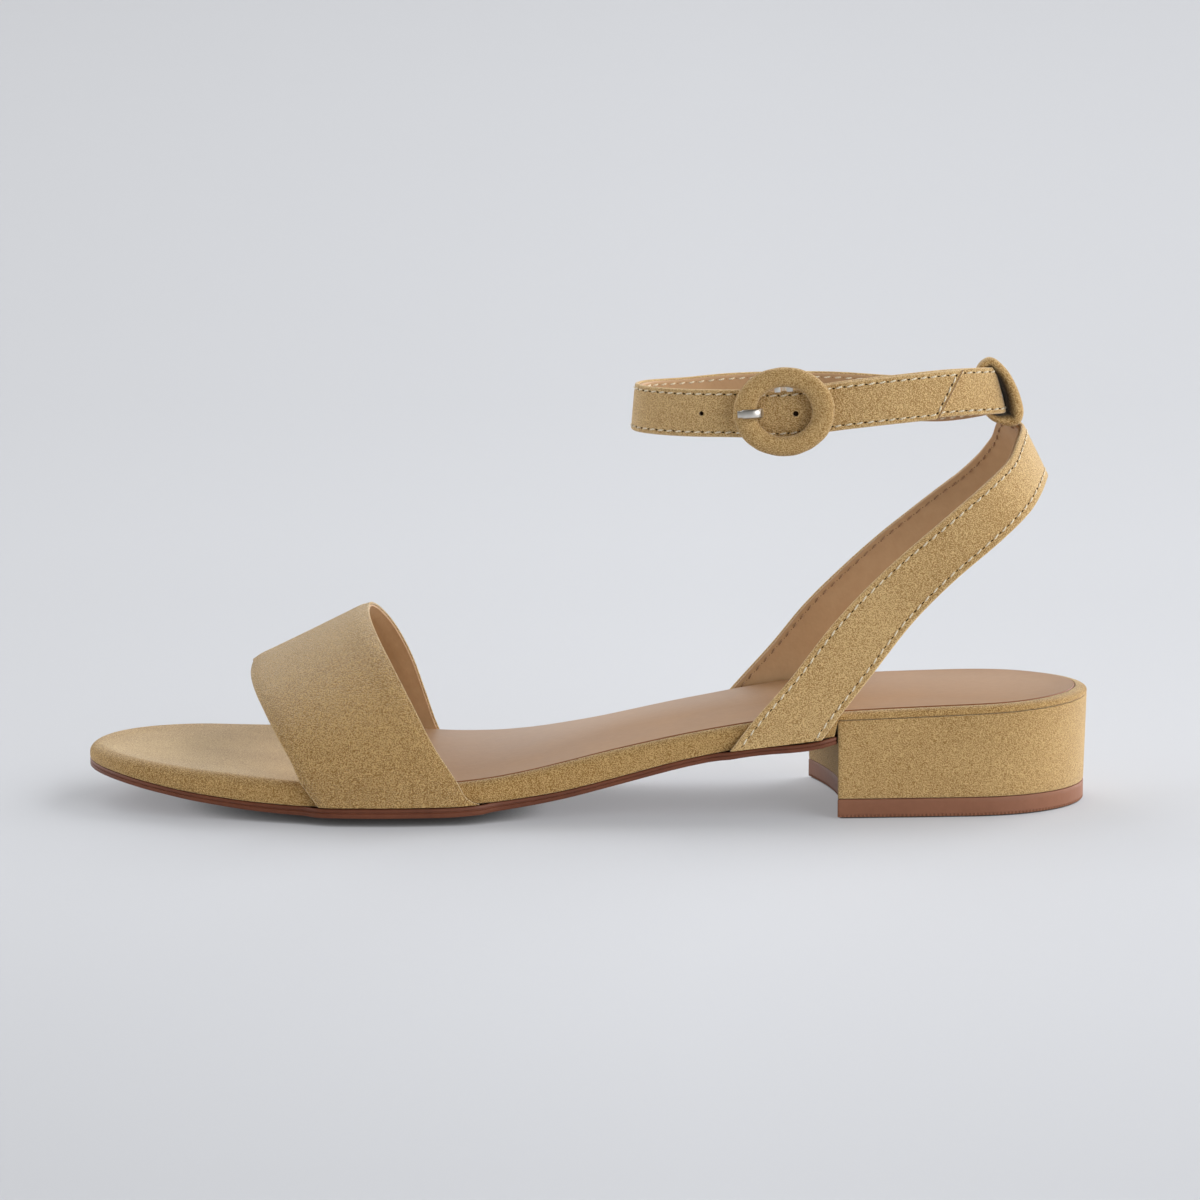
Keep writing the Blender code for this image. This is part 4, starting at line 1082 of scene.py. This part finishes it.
heel = {
    "taper": 0.6,
    "corner": 1.0,
    "edge": 0.35,
    "lift": 4.5,             # height of the top piece
    "steps": 330,
    "sideSteps": 60,
    "rises": np.linspace(0.12, 0.92, 9),
    "middle": (22.0, 46.0),
    "teeth": 216,
    "toothDepth": 0.22,
    "toothHeight": 0.6,
    "toothFoot": 0.15,
    "toothFade": 0.1,
    "topEdge": [(0.1, 0.08), (0.3, 0.0)],    # in from the side and down, at the top of the top piece
}


def heelOutline(count, inset=0.0):
    # the sides and back taper, the breast stands upright
    ends = [breastAtEdge(side, halfWidth) + inset for side in (outerSide, innerSide)]
    outerAlong, innerAlong = (bunched(0.0, end, heel["sideSteps"], "first") for end in ends)
    corners = -halfWidth(ends[0], outerSide), halfWidth(ends[1], innerSide)
    front = breastLine(*corners, heel["sideSteps"], inset)
    points, spine = soleOutline(outerAlong, innerAlong, halfWidth, frontCut=front, ends=heel["middle"])
    return softOutline(insetOutline(points, inset), spine, count, heel["corner"])


def heelRing(points, spine, share):
    # drawn in towards the middle; share 0 is one point
    middle = spine if share else spine.mean(axis=0)
    return middle + (points - middle) * share


def makeHeelBlock():
    points, spine = heelOutline(heel["steps"])
    foot = heel["lift"] + sole["seam"]
    edge = heel["edge"]

    def ringAt(inset):
        return heelOutline(heel["steps"], inset)[0]

    def footAt(distance):
        return ringAt(heel["taper"] + distance)

    def topAt(ring):
        return heelTop(ring[:, 0]) - heelCup(ring[:, 0], ring[:, 1])

    top = topAt(points)
    rings = [lifted(heelRing(points, spine, share), foot) for share in (0.0, 0.4, 0.8)]
    rings += turnUp(footAt, foot, edge, np.radians((0, 45, 90)))
    for rise in heel["rises"]:
        rings.append(lifted(ringAt(heel["taper"] * (1 - rise)), foot + (top - foot) * rise))
    rings += turnOver(ringAt, top, edge, edge)
    for share in (0.85, 0.7, 0.5, 0.3, 0.0):
        ring = heelRing(points, spine, share)
        rings.append(lifted(ring, topAt(ring)))
    piece = ringLoft("heelBlock", rings, heelSuede)
    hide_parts("heel_block")


def makeTopPiece():
    count = heel["teeth"] * 4
    points, spine = heelOutline(count, heel["taper"])
    tooth = np.where(np.arange(count) % 4 < 2, heel["toothDepth"], 0.0)
    foot = heel["toothFoot"]
    rings = [lifted(heelRing(points, spine, share), 0.0) for share in (0.0, 0.5, 0.9)]
    rings.append(lifted(insetOutline(points, tooth + foot), 0.0))
    for height in (foot, heel["toothHeight"]):
        rings.append(lifted(insetOutline(points, tooth), height))
    rings.append(lifted(points, heel["toothHeight"] + heel["toothFade"]))
    rings += [lifted(points, heel["lift"] * rise) for rise in (0.35, 0.65, 0.93)]
    rings += [lifted(insetOutline(points, inset), heel["lift"] - down) for inset, down in heel["topEdge"]]
    rings += [lifted(heelRing(points, spine, share), heel["lift"]) for share in (0.8, 0.0)]
    piece = ringLoft("topPiece", rings, topPieceRubber)
    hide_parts("top_piece")


makeHeelBlock()
makeTopPiece()
print("heel made")


# straps are a suede ply over a lining ply

plies = {"suede": (-0.1, 1.0), "lining": (-1.0, -0.15), "liningInset": 0.3, "stitchSink": 0.02}


def strapPlies(name, gridAt, width, middle, suedeMaterial, endDistance=None, groove=None, skive=None,
               outward=1.0):
    # gridAt(distances across) gives the middle surface; width is the strap's width at each row
    made = []
    for ply, material in (("suede", suedeMaterial), ("lining", strapLining)):
        low, high = plies[ply]
        inset = 0.0 if ply == "suede" else plies["liningInset"]
        steps = edgeSteps(width - 2 * inset, (high - low) / 2, middle)
        edge = np.minimum(steps, steps[:, ::-1])
        if endDistance is not None:
            edge = np.minimum(edge, endDistance[:, None])
        grid = gridAt(steps + inset)
        normals = gridNormals(grid) * outward
        pieceName = name if ply == "suede" else name + "Lining"
        made.append(plyPiece(pieceName, grid, normals, edge, low, high, material, groove=groove, skive=skive,
                             tip=endDistance))
    return made


def faceLine(gridAt, distance, offset, reach=0.4):
    # line on a strap's face at a distance from its first edge
    grid = gridAt(distance[:, None] + np.array([-reach, 0.0, reach]))
    normals = gridNormals(grid)[:, 1]
    return grid[:, 1] + normals * offset, normals * np.sign(offset)


# toe band

def bandColumn(side, column, rise):
    return tableCurve(band, sideName(side) + column, rise)


def bandPoint(side, turn, across):
    # turn is 0 at the rim and 90 at the crown; below 0 the band runs down to the outsole
    def alongAt(rise):
        front = bandColumn(side, "Front", rise)
        return front + (bandColumn(side, "Back", rise) - front) * across

    clear = sole["strapClear"] + band["thickness"] / 2
    rimAlong = alongAt(0.0)
    rimAcross = side * (halfWidth(rimAlong, side) + clear)
    rimHeight = soleAt("seat", rimAlong)
    if turn < 0:
        down = -turn
        flare = 0.5 * down + 0.5 * down ** (1 + band["footFlare"] * across)
        footAlong = rimAlong + (alongAt(band["rows"][0][0]) - rimAlong) * flare
        footAcross = side * (halfWidth(footAlong, side) + clear)
        footHeight = rimHeight + (treadTop(footAlong, 1.0) + sole["clear"] - rimHeight) * down
        return np.stack([footAlong, footAcross, footHeight], axis=-1)
    rise = math.sin(math.radians(turn)) ** (2 / band["archPower"])
    run = max(math.cos(math.radians(turn)), 0.0) ** (2 / band["archPower"])
    crown = band["crownFront"] + (band["crownBack"] - band["crownFront"]) * across
    width = band["crownSide"] + (rimAcross - band["crownSide"]) * run
    return np.stack([alongAt(rise), width, rimHeight + (crown - rimHeight) * rise], axis=-1)


def makeVampBand():
    down = np.linspace(-1, 0, band["footSteps"], endpoint=False)
    turns = np.concatenate([down, np.linspace(0, 90, band["archSteps"])])
    rows = [(outerSide, turn) for turn in turns] + [(innerSide, turn) for turn in turns[-2::-1]]
    ends = np.array([0.0, 1.0])
    edges = inPlace(np.array([bandPoint(side, turn, ends) for side, turn in rows]))
    width = np.linalg.norm(edges[:, 1] - edges[:, 0], axis=1)

    def gridAt(steps):
        return inPlace(np.array([bandPoint(*row, s / w) for row, s, w in zip(rows, steps, width)]))

    across = band["acrossSteps"]
    made = strapPlies("vampBand", gridAt, width, across, bandSuede, skive=band["skive"], outward=-1.0)
    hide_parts("vamp_band")


makeVampBand()
print("toe band made")


# sling strap, with the keeper loop at its top

def lastWall(along, height, side):
    low = halfWidth(along, side) + sole["strapClear"] + sling["thickness"] / 2
    back = tableCurve(sling, "along", height)
    openShare = np.clip((along - back) / sling["ankleReach"], 0.0, 1.0)
    high = sling["ankleHalf"] * np.sin(openShare ** sling["backRound"] * math.pi / 2)
    rim = soleAt("seat", along)
    return low + (high - low) * ease((height - rim) / (sling["ankleLevel"] - rim))


def slingEdges(side):
    rows = [list(row) for row in sling["edges"]]
    for k in (0, 2):
        rows[0][k + 1] = treadTop(rows[0][k], 1.0) + sole["clear"]
    line = splineThrough(rows, sling["perSpan"])
    edges = []
    for k in (0, 2):
        along = line[:, k]
        height = np.minimum(line[:, k + 1], sling["edges"][-1][1])
        wall = lastWall(along, height, side)
        wall[-1] = 0.0
        if side == innerSide:
            away = np.clip(wall / sling["inner"]["over"], 0.0, 1.0)
            along = along + tableCurve(sling["inner"], "shift", height) * away
            height = height + tableCurve(sling["inner"], "rise", height) * away
        edges.append(inPlace(np.column_stack([along, side * wall, height])))
    return edges


def makeSlingStrap():
    edges = zip(slingEdges(outerSide), slingEdges(innerSide))
    upper, lower = (np.concatenate([outer, inner[-2::-1]]) for outer, inner in edges)
    width = np.linalg.norm(upper - lower, axis=1)

    def gridAt(steps):
        return lower[:, None] + (upper - lower)[:, None] * (steps / width[:, None])[..., None]

    made = strapPlies("slingStrap", gridAt, width, sling["acrossSteps"], slingSuede, groove=sling["groove"])
    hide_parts("sling_strap")
    inset = np.full(len(width), sling["groove"]["inset"])
    rows = [faceLine(gridAt, d, plies["suede"][1] - sling["stitchSink"]) for d in (inset, width - inset)]
    sewRows("slingOuter", rows, sling["stitchPitch"], creamThread, needleHoleShadow)
    rows = [faceLine(gridAt, d, plies["lining"][0] + plies["stitchSink"]) for d in (inset, width - inset)]
    sewRows("slingInner", rows, sling["stitchPitch"], tanThread, liningHoleShadow)


loop = {
    "width": 9.0,
    "edgeRound": 1.4,
    "tilt": 0.1,
    "padding": 1.1,          # the roll is fuller in the middle of its width
    "paddedFrom": 0.9,       # where its thickness inwards is more than this
    "rows": [                # along, height, thickness inwards and outwards, once round from the foot
        (20.6, 93.7, 2.1, 0.8),
        (18.5, 94.0, 2.0, 0.9),
        (17.5, 96.0, 2.6, 0.8),
        (17.8, 98.6, 2.5, 0.75),
        (19.0, 102.0, 2.0, 0.75),
        (20.9, 105.6, 1.7, 0.75),
        (23.4, 108.3, 1.6, 0.8),
        (25.3, 109.1, 1.5, 0.8),
        (27.5, 107.0, 1.0, 0.7),
        (28.0, 102.8, 0.7, 0.7),
        (26.7, 98.4, 0.7, 0.7),
        (24.0, 95.0, 1.0, 0.8),
    ],
}


def makeBackLoop():
    path = splineThrough(loop["rows"], 10, closed=True)[:-1]
    steps = edgeSteps(np.full(len(path), loop["width"]), loop["edgeRound"], 10)
    across = steps - loop["width"] / 2
    along = np.broadcast_to(path[:, :1], steps.shape)
    height = path[:, 1:2] - loop["tilt"] * across
    grid = inPlace(np.stack([along, across, height], axis=-1))
    normals = -gridNormals(grid, closed=True)
    edge = np.minimum(steps, steps[:, ::-1])
    full = 1 - (2 * across / loop["width"]) ** 2
    roll = ease(path[:, 2:3] / loop["paddedFrom"] - 1)
    inside = -path[:, 2:3] - loop["padding"] * full * roll
    outside = np.broadcast_to(path[:, 3:4], steps.shape)
    piece = plyPiece("backLoop", grid, normals, edge, inside, outside, loopSuede, closed=True)
    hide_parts("back_loop")


makeSlingStrap()
makeBackLoop()
print("sling and loop made")


# ankle strap

ankle = {
    "width": 11.6,
    "overlap": 41.0,         # free end past the buckle's bar
    "tipSlant": 8.0,
    "tipOver": 12.0,         # length over which the slant comes in
    "layer": 2.35,           # the free end lies this far outside the strap under it
    "layerFrom": 44.0,       # it moves out this far before the bar
    "layerOver": 30.0,
    "start": 1.2,
    "steps": 300,
    "acrossSteps": 18,
    "endRows": 14,           # closer rows over the last of the free end
    "endReach": 3.0,
    "endGap": 0.6,
    "groove": {"depth": 0.16, "inset": 1.15, "width": 0.5},
    "stitchPitch": 2.7,
    "stitchStart": 1.5,
    "stitchSink": 0.14,
    "holes": [(-2.6, 0.68), (5.9, 0.85), (11.4, 0.5), (20.2, 0.58)],     # place towards the toe, radius
    "holeSides": 20,
    "cutDepth": 2.0,
    "shade": {"rim": 1.04, "height": 0.35, "well": 0.3, "base": 0.5},    # painted shadow: a dark cup in each free hole
    "prongHole": 1,
    "buckleSag": 1.0,        # the free end is pressed down where it passes the ring
    "sagReach": 9.0,
    "buckleRow": 4,
    "rows": [                # along, half-width, outer lower edge, inner lower edge, lean
        (112.6, 0.0, 92.0, 92.0, 1.0),
        (109.6, 7.3, 92.1, 91.9, 1.0),
        (100.5, 13.8, 92.4, 91.7, 1.0),
        (89.0, 18.3, 93.0, 92.2, 1.0),
        (76.0, 21.0, 94.0, 92.3, 1.0),
        (62.0, 21.3, 95.2, 92.2, 1.2),
        (48.0, 18.8, 96.4, 91.7, 1.5),
        (36.0, 14.0, 97.0, 92.0, 1.9),
        (27.0, 8.8, 96.8, 93.9, 2.4),
        (22.6, 4.6, 96.5, 95.7, 2.8),
        (21.8, 0.0, 96.2, 96.2, 2.9),
    ],
}


def anklePath():
    outer = [(along, -half, foot, lean) for along, half, foot, _, lean in ankle["rows"]]
    inner = [(along, half, foot, lean) for along, half, _, foot, lean in ankle["rows"]]
    first = ankle["buckleRow"]
    path = splineThrough(outer[first:] + inner[-2::-1] + outer[1:first], 24, closed=True)
    return path, runLength(path[:, :2])


ankleLine, ankleRun = anklePath()
ankleRound = ankleRun[-1]


def anklePoint(where, share, offset, reach=0.6):
    # share is 0 at the lower edge and 1 at the upper one
    where = np.asarray(where, float) % ankleRound
    here = pointAt(ankleLine, ankleRun, where)
    ahead = pointAt(ankleLine, ankleRun, (where + reach) % ankleRound)[..., :2]
    behind = pointAt(ankleLine, ankleRun, (where - reach) % ankleRound)[..., :2]
    tangent = unit(ahead - behind)
    outward = np.stack([-tangent[..., 1], tangent[..., 0]], axis=-1)
    lean = here[..., 3]
    plan = here[..., :2] + outward * np.asarray(offset - lean * share)[..., None]
    height = here[..., 2] + share * np.sqrt(ankle["width"] ** 2 - lean ** 2)
    fromBuckle = np.minimum(where, ankleRound - where) / ankle["sagReach"]
    height = height - ankle["buckleSag"] * np.exp(-fromBuckle ** 2)
    return inPlace(np.concatenate([plan, height[..., None]], axis=-1))


def ankleLayer(where):
    return ankle["layer"] * ease((where - ankleRound + ankle["layerFrom"]) / ankle["layerOver"])


def ankleGrid(where, share):
    # where runs along the strap past the buckle; the free end is cut on a slant
    end = ankleRound + ankle["overlap"] - ankle["tipOver"]
    slant = ankle["tipSlant"] * ease((where - end) / ankle["tipOver"])
    places = where + slant * (share - 0.5)
    return anklePoint(places, share, ankleLayer(places))


def punchHole(place, radius):
    # centre, axis and rim of a hole
    where = ankleRound - place
    layer = ankleLayer(where)
    centre = anklePoint(where, 0.5, layer)
    axis = unit(anklePoint(where, 0.5, layer + 1.0) - centre)
    up = unit(anklePoint(where, 1.0, layer) - centre)
    turn = circle(ankle["holeSides"])[:, None]
    return centre, axis, radius * (np.cos(turn) * up + np.sin(turn) * np.cross(axis, up))


def holeCutter():
    pins = []
    for hole in ankle["holes"]:
        centre, axis, rim = punchHole(*hole)
        ends = [centre + rim + axis * depth for depth in (-ankle["cutDepth"], ankle["cutDepth"])]
        pins.append((np.concatenate(ends), tubeFaces(2, ankle["holeSides"], capped=True)))
    points, faces = joined(pins)
    mesh = bpy.data.meshes.new("holeCutter")
    mesh.from_pydata((points * mm).tolist(), [], faces)
    return newObject("holeCutter", mesh)


def makePunchHoleShadows():
    # painted shadow: a dark cup stands for the inside of each free hole, which lies in shade
    shade = ankle["shade"]
    cups = []
    for k, hole in enumerate(ankle["holes"]):
        if k == ankle["prongHole"]:
            continue
        centre, axis, rim = punchHole(*hole)
        rim = centre + rim * shade["rim"] + axis * shade["height"]
        points = np.concatenate([rim, [centre - axis * shade["well"], centre - axis * shade["base"]]])
        cups.append((points, lensFaces(ankle["holeSides"])))
    makePiece("anklePunchHoleShadows", *joined(cups), needleHoleShadow, weld=0.0005)


def punchThrough(piece, cutter):
    cut = piece.modifiers.new("punch", "BOOLEAN")
    cut.operation = "DIFFERENCE"
    cut.solver = "EXACT"
    cut.object = cutter
    bpy.context.view_layer.update()
    done = bpy.data.meshes.new_from_object(piece.evaluated_get(bpy.context.evaluated_depsgraph_get()))
    piece.modifiers.clear()
    piece.data = done


def makeAnkleStrap():
    end = ankleRound + ankle["overlap"]
    tip = end - bunched(0.0, ankle["endReach"], ankle["endRows"], "first")[::-1]
    where = np.linspace(ankle["start"], tip[0] - ankle["endGap"], ankle["steps"])
    where = np.concatenate([where, tip])
    width = np.full(len(where), ankle["width"])
    square = ankle["width"] / math.hypot(ankle["width"], ankle["tipSlant"])

    def gridAt(steps):
        return ankleGrid(np.broadcast_to(where[:, None], steps.shape), steps / ankle["width"])

    toTip = (end - where) * square
    made = strapPlies("ankleStrap", gridAt, width, ankle["acrossSteps"], ankleSuede, endDistance=toTip,
                      groove=ankle["groove"])
    cutter = holeCutter()
    for piece in made:
        punchThrough(piece, cutter)
    bpy.data.objects.remove(cutter)
    makePunchHoleShadows()
    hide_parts("ankle_strap")

    # one row of stitches, out along the lower edge, across the tip and back
    inset = ankle["groove"]["inset"]
    straight = np.linspace(ankle["start"] + ankle["stitchStart"], end - inset / square, 500)
    shares = np.linspace(inset, ankle["width"] - inset, 40) / ankle["width"]
    alongRow = np.concatenate([straight, np.full(len(shares) - 2, straight[-1]), straight[::-1]])
    sides = [np.full(len(straight), share) for share in (shares[0], shares[-1])]
    acrossRow = np.concatenate([sides[0], shares[1:-1], sides[1]])

    def onFace(offset, reach=0.3):
        aside = reach / ankle["width"]
        middle = ankleGrid(alongRow, acrossRow)
        ahead = ankleGrid(alongRow + reach, acrossRow) - middle
        across = ankleGrid(alongRow, acrossRow + aside) - ankleGrid(alongRow, acrossRow - aside)
        normals = unit(np.cross(ahead, across))
        return middle + normals * offset, normals * np.sign(offset)

    rows = [onFace(plies["suede"][1] - ankle["stitchSink"])]
    sewRows("ankleOuter", rows, ankle["stitchPitch"], creamThread, needleHoleShadow)
    rows = [onFace(plies["lining"][0] + plies["stitchSink"])]
    sewRows("ankleInner", rows, ankle["stitchPitch"], creamThread, liningHoleShadow)


makeAnkleStrap()
print("ankle strap made")


# buckle, in the plane of the strap under it: towards the toe, up, outward

buckle = {
    "width": 24.7,
    "height": 21.6,
    "drop": 0.25,
    "chord": 25.0,           # the plane follows the strap this far to both sides
    "band": 5.5,
    "depth": 3.8,
    "bandSteps": (120, 36),
    "wrap": [(0.012, 7, 0.6), (0.01, 17, 0.0)],      # cover drawn round by hand: size, waves, start
    "flatness": 0.9,
    "barRadius": 0.8,
    "barSet": 0.4,           # its ends lie this far behind the ring
    "prongWidth": 2.2,
    "prongThickness": 1.5,
    "prongReach": 11.0,
    "prongFoot": 2.3,
    "prongTip": {"from": 0.95, "size": 0.8},
    "ears": {"apart": 1.5, "width": 1.6, "thickness": 0.7, "bends": [(-3.6, 0.1), (-2.6, 0.3), (0.6, 0.4)]},
}


def buckleFrame():
    step = ankle["layer"]
    middle = anklePoint(0.0, 0.5, step)
    middle[2] += ankle["buckleSag"] - buckle["drop"]
    chord = anklePoint(-buckle["chord"], 0.5, step) - anklePoint(buckle["chord"], 0.5, step)
    toeWard = Vector(chord).normalized()
    up = Vector(anklePoint(0.0, 1.0, step) - middle)
    up = (up - toeWard * up.dot(toeWard)).normalized()
    outward = up.cross(toeWard).normalized()
    if outward.y > 0:
        outward.negate()
    return np.array([toeWard, up, outward]), np.array(middle)


buckleAxes, buckleMiddle = buckleFrame()
ringLift = band["thickness"] / 2 + sole["clear"] + buckle["depth"] / 2


def onBuckle(points):
    return buckleMiddle + np.asarray(points, float) @ buckleAxes


def rounded(wave, power):
    return np.sign(wave) * np.abs(wave) ** power


def tubePiece(name, path, across, through, sides=12, square=0.6):
    # steel of rounded flat section along a path; across and through are its sizes
    path = np.asarray(path, float)
    forward = unit(np.gradient(path, axis=0))
    side = np.array([0.0, 1.0, 0.0] if abs(forward[:, 1]).max() < 0.7 else [1.0, 0.0, 0.0])
    side = np.broadcast_to(side, forward.shape)[:, None]
    up = unit(np.cross(forward[:, None], side))
    angle = circle(sides)[:, None]
    ring = side * rounded(np.cos(angle), square) * np.reshape(across, (-1, 1, 1)) / 2
    ring = ring + up * rounded(np.sin(angle), square) * np.reshape(through, (-1, 1, 1)) / 2
    points = onBuckle((path[:, None] + ring).reshape(-1, 3))
    return makePiece(name, points, tubeFaces(len(path), sides, capped=True), polishedSteel, sharp=50.0)


def makeBuckleRing():
    turn, roll = (circle(count) for count in buckle["bandSteps"])
    wrap = 1 + sum(size * np.sin(turn * waves + start) for size, waves, start in buckle["wrap"])
    across = np.cos(roll)[None] * buckle["band"] / 2 * wrap[:, None]
    through = rounded(np.sin(roll), buckle["flatness"]) * buckle["depth"] / 2
    reach = (buckle["width"] - buckle["band"]) / 2 + across
    x = reach * np.cos(turn)[:, None]
    y = reach * np.sin(turn)[:, None] * buckle["height"] / buckle["width"]
    z = np.broadcast_to(ringLift + through, x.shape)
    points = onBuckle(np.stack([x, y, z], axis=-1).reshape(-1, 3))
    piece = makePiece("buckleRing", points, tubeFaces(*buckle["bandSteps"], closed=True), ringSuede)
    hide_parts("buckle_ring")


def makeBuckleSteel():
    hole = ankle["holes"][ankle["prongHole"]][0]
    top = ringLift + buckle["depth"] / 2 + sole["clear"] + buckle["prongThickness"] / 2
    under = -ankle["layer"]
    bends = [                # from the bar under the strap, up through the hole and onto the ring
        (buckle["prongFoot"], 0.0, under - 0.6),
        (hole - 1.2, 0.0, under - 0.4),
        (hole - 0.1, 0.0, under + 0.6),
        (hole, 0.0, 0.0),
        (hole, 0.0, top - 1.6),
        (hole + 0.25, 0.0, top - 0.5),
        (hole + 1.2, 0.0, top),
        (hole + 2.6, 0.0, top + 0.05),
        (buckle["prongReach"], 0.0, top - 0.05),
    ]
    path = splineThrough(bends, 6)
    atTip = np.linspace(0, 1, len(path)) > buckle["prongTip"]["from"]
    size = np.where(atTip, buckle["prongTip"]["size"], 1.0)
    prong = tubePiece("buckleProng", path, buckle["prongWidth"] * size, buckle["prongThickness"] * size)
    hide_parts("buckle_prong")

    leg = (buckle["width"] - buckle["band"]) / 2 * buckle["height"] / buckle["width"]
    back = ringLift - buckle["depth"] / 2 - sole["clear"] - buckle["barSet"]
    corner = buckle["barRadius"]
    half = [(0.0, leg, back), (0.0, leg, under + corner), (0.0, leg - corner, under)]
    path = splineThrough(half + [(x, -y, z) for x, y, z in half[::-1]], 8)
    bar = tubePiece("buckleBar", path, 2 * buckle["barRadius"], 2 * buckle["barRadius"])
    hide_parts("buckle_bar")

    ears = buckle["ears"]
    for name, x in (("buckleEarToe", ears["apart"]), ("buckleEarHeel", -ears["apart"])):
        path = splineThrough([(x, leg + y, back + z) for y, z in ears["bends"]], 5)
        tubePiece(name, path, ears["width"], ears["thickness"])


makeBuckleRing()
makeBuckleSteel()
print("buckle made")


# floor, light and camera

studio = {
    "floorHalf": 8.0,
    "floorLevel": -0.0003,
    "floor": (0.368, 0.376, 0.398),
    "glow": (0.2195, 0.2245, 0.2325),       # painted light: the floor glows, which lifts the shade round the shoe
    "fades": [               # painted light falloff on the floor: from one distance to another, brightness at each
        (0.4, 0.75, 1.0, 0.958),
        (0.75, 3.4, 1.0, 0.912),
        (-0.36, -0.1, 0.92, 1.05),
        (0.0, 0.3, 1.0, 0.955),
    ],
    "paintedLeftFalloff": (-0.11, 0.02, 0.9, 1.0),    # painted falloff, darker to the left, by the slope from the camera's place
    "grain": 0.012,
    "rough": (0.6, 0.7),
    "contactShadow": {"distance": 0.006, "open": (0.0, 0.33), "tone": (0.03, 0.02, 0.012)},       # painted shadow on the floor under the shoe
    "sky": (0.95, 0.975, 1.0, 1),
    "skyStrength": 0.02,
    "lamps": [               # name, direction it comes from, softness in degrees, strength
        ("rightBack", (0.8, 0.5, 0.4), 60.0, 3.6),
        ("rightFront", (0.75, -0.55, 0.3), 60.0, 2.65),
        ("leftSide", (-1.0, -0.1, 0.3), 60.0, 1.5),
        ("leftBack", (-0.6, 0.6, 0.45), 60.0, 1.6),
        ("backHigh", (0.0, 0.8, 0.6), 70.0, 0.75),
        ("frontLow", (0.0, -1.0, 0.25), 70.0, 0.3),
    ],
}

photoCamera = {
    "distance": 1.4,
    "target": (0.003, 0.0, 0.0492),
    "pitch": 9.5,
    "lens": 169.0,
    "sensor": 36.0,
}


def makeFloor():
    half, level = studio["floorHalf"], studio["floorLevel"]
    mesh = bpy.data.meshes.new("floor")
    corners = [(x * half, y * half, level) for x, y in ((-1, -1), (1, -1), (1, 1), (-1, 1))]
    mesh.from_pydata(corners, [], [(0, 1, 2, 3)])
    material, tree, shader = newMaterial("paleFloor", {"Specular IOR Level": 0.1, "Emission Strength": 1.0})
    place = objectPlace(tree)
    grain = noise(tree, place, 3.0)
    place = put(tree, "ShaderNodeSeparateXYZ", {0: place}).outputs
    fan = maths(tree, "DIVIDE", place["X"], maths(tree, "ADD", place["Y"], photoCamera["distance"]))
    fade = spread(tree, fan, *studio["paintedLeftFalloff"])
    for part in studio["fades"]:
        fade = maths(tree, "MULTIPLY", fade, spread(tree, place["Y"], *part))
    light = maths(tree, "MULTIPLY_ADD", grain, studio["grain"], fade)
    # painted contact shadow: floor colour and glow darken where the shoe is close
    contactShadow = studio["contactShadow"]
    sockets = {"Distance": contactShadow["distance"]}
    near = put(tree, "ShaderNodeAmbientOcclusion", sockets, samples=16).outputs["AO"]
    clear = spread(tree, near, *contactShadow["open"], 0.0, 1.0)
    for name, socket in (("floor", "Base Color"), ("glow", "Emission Color")):
        sockets = {0: studio[name], "Scale": light}
        tone = put(tree, "ShaderNodeVectorMath", sockets, operation="SCALE").outputs[0]
        sockets = {0: tone, 1: contactShadow["tone"]}
        dark = put(tree, "ShaderNodeVectorMath", sockets, operation="MULTIPLY").outputs[0]
        tree.links.new(blendTone(tree, clear, dark, tone), shader[socket])
    tree.links.new(spread(tree, grain, 0.0, 1.0, *studio["rough"]), shader["Roughness"])
    mesh.materials.append(material)
    newObject("floor", mesh)


def makeLights():
    world = bpy.data.worlds.new("studio")
    bpy.context.scene.world = world
    world.use_nodes = True
    sky = world.node_tree.nodes["Background"]
    sky.inputs["Color"].default_value = studio["sky"]
    sky.inputs["Strength"].default_value = studio["skyStrength"]
    for name, direction, softness, strength in studio["lamps"]:
        data = bpy.data.lights.new(name, "SUN")
        data.angle = math.radians(softness)
        data.energy = strength
        lamp = newObject(name, data)
        lamp.location = direction
        lamp.rotation_euler = Vector(direction).to_track_quat("Z", "Y").to_euler()


def makeCamera():
    data = bpy.data.cameras.new("photoCamera")
    data.lens = photoCamera["lens"]
    data.sensor_width = photoCamera["sensor"]
    pitch = math.radians(photoCamera["pitch"])
    back = Vector((0.0, -math.cos(pitch), math.sin(pitch))) * photoCamera["distance"]
    camera = newObject("photoCamera", data)
    camera.location = Vector(photoCamera["target"]) + back
    camera.rotation_euler = (math.pi / 2 - pitch, 0.0, 0.0)
    bpy.context.scene.camera = camera


makeFloor()
makeLights()
makeCamera()
bpy.context.scene.view_settings.view_transform = "Standard"
print("stage made")
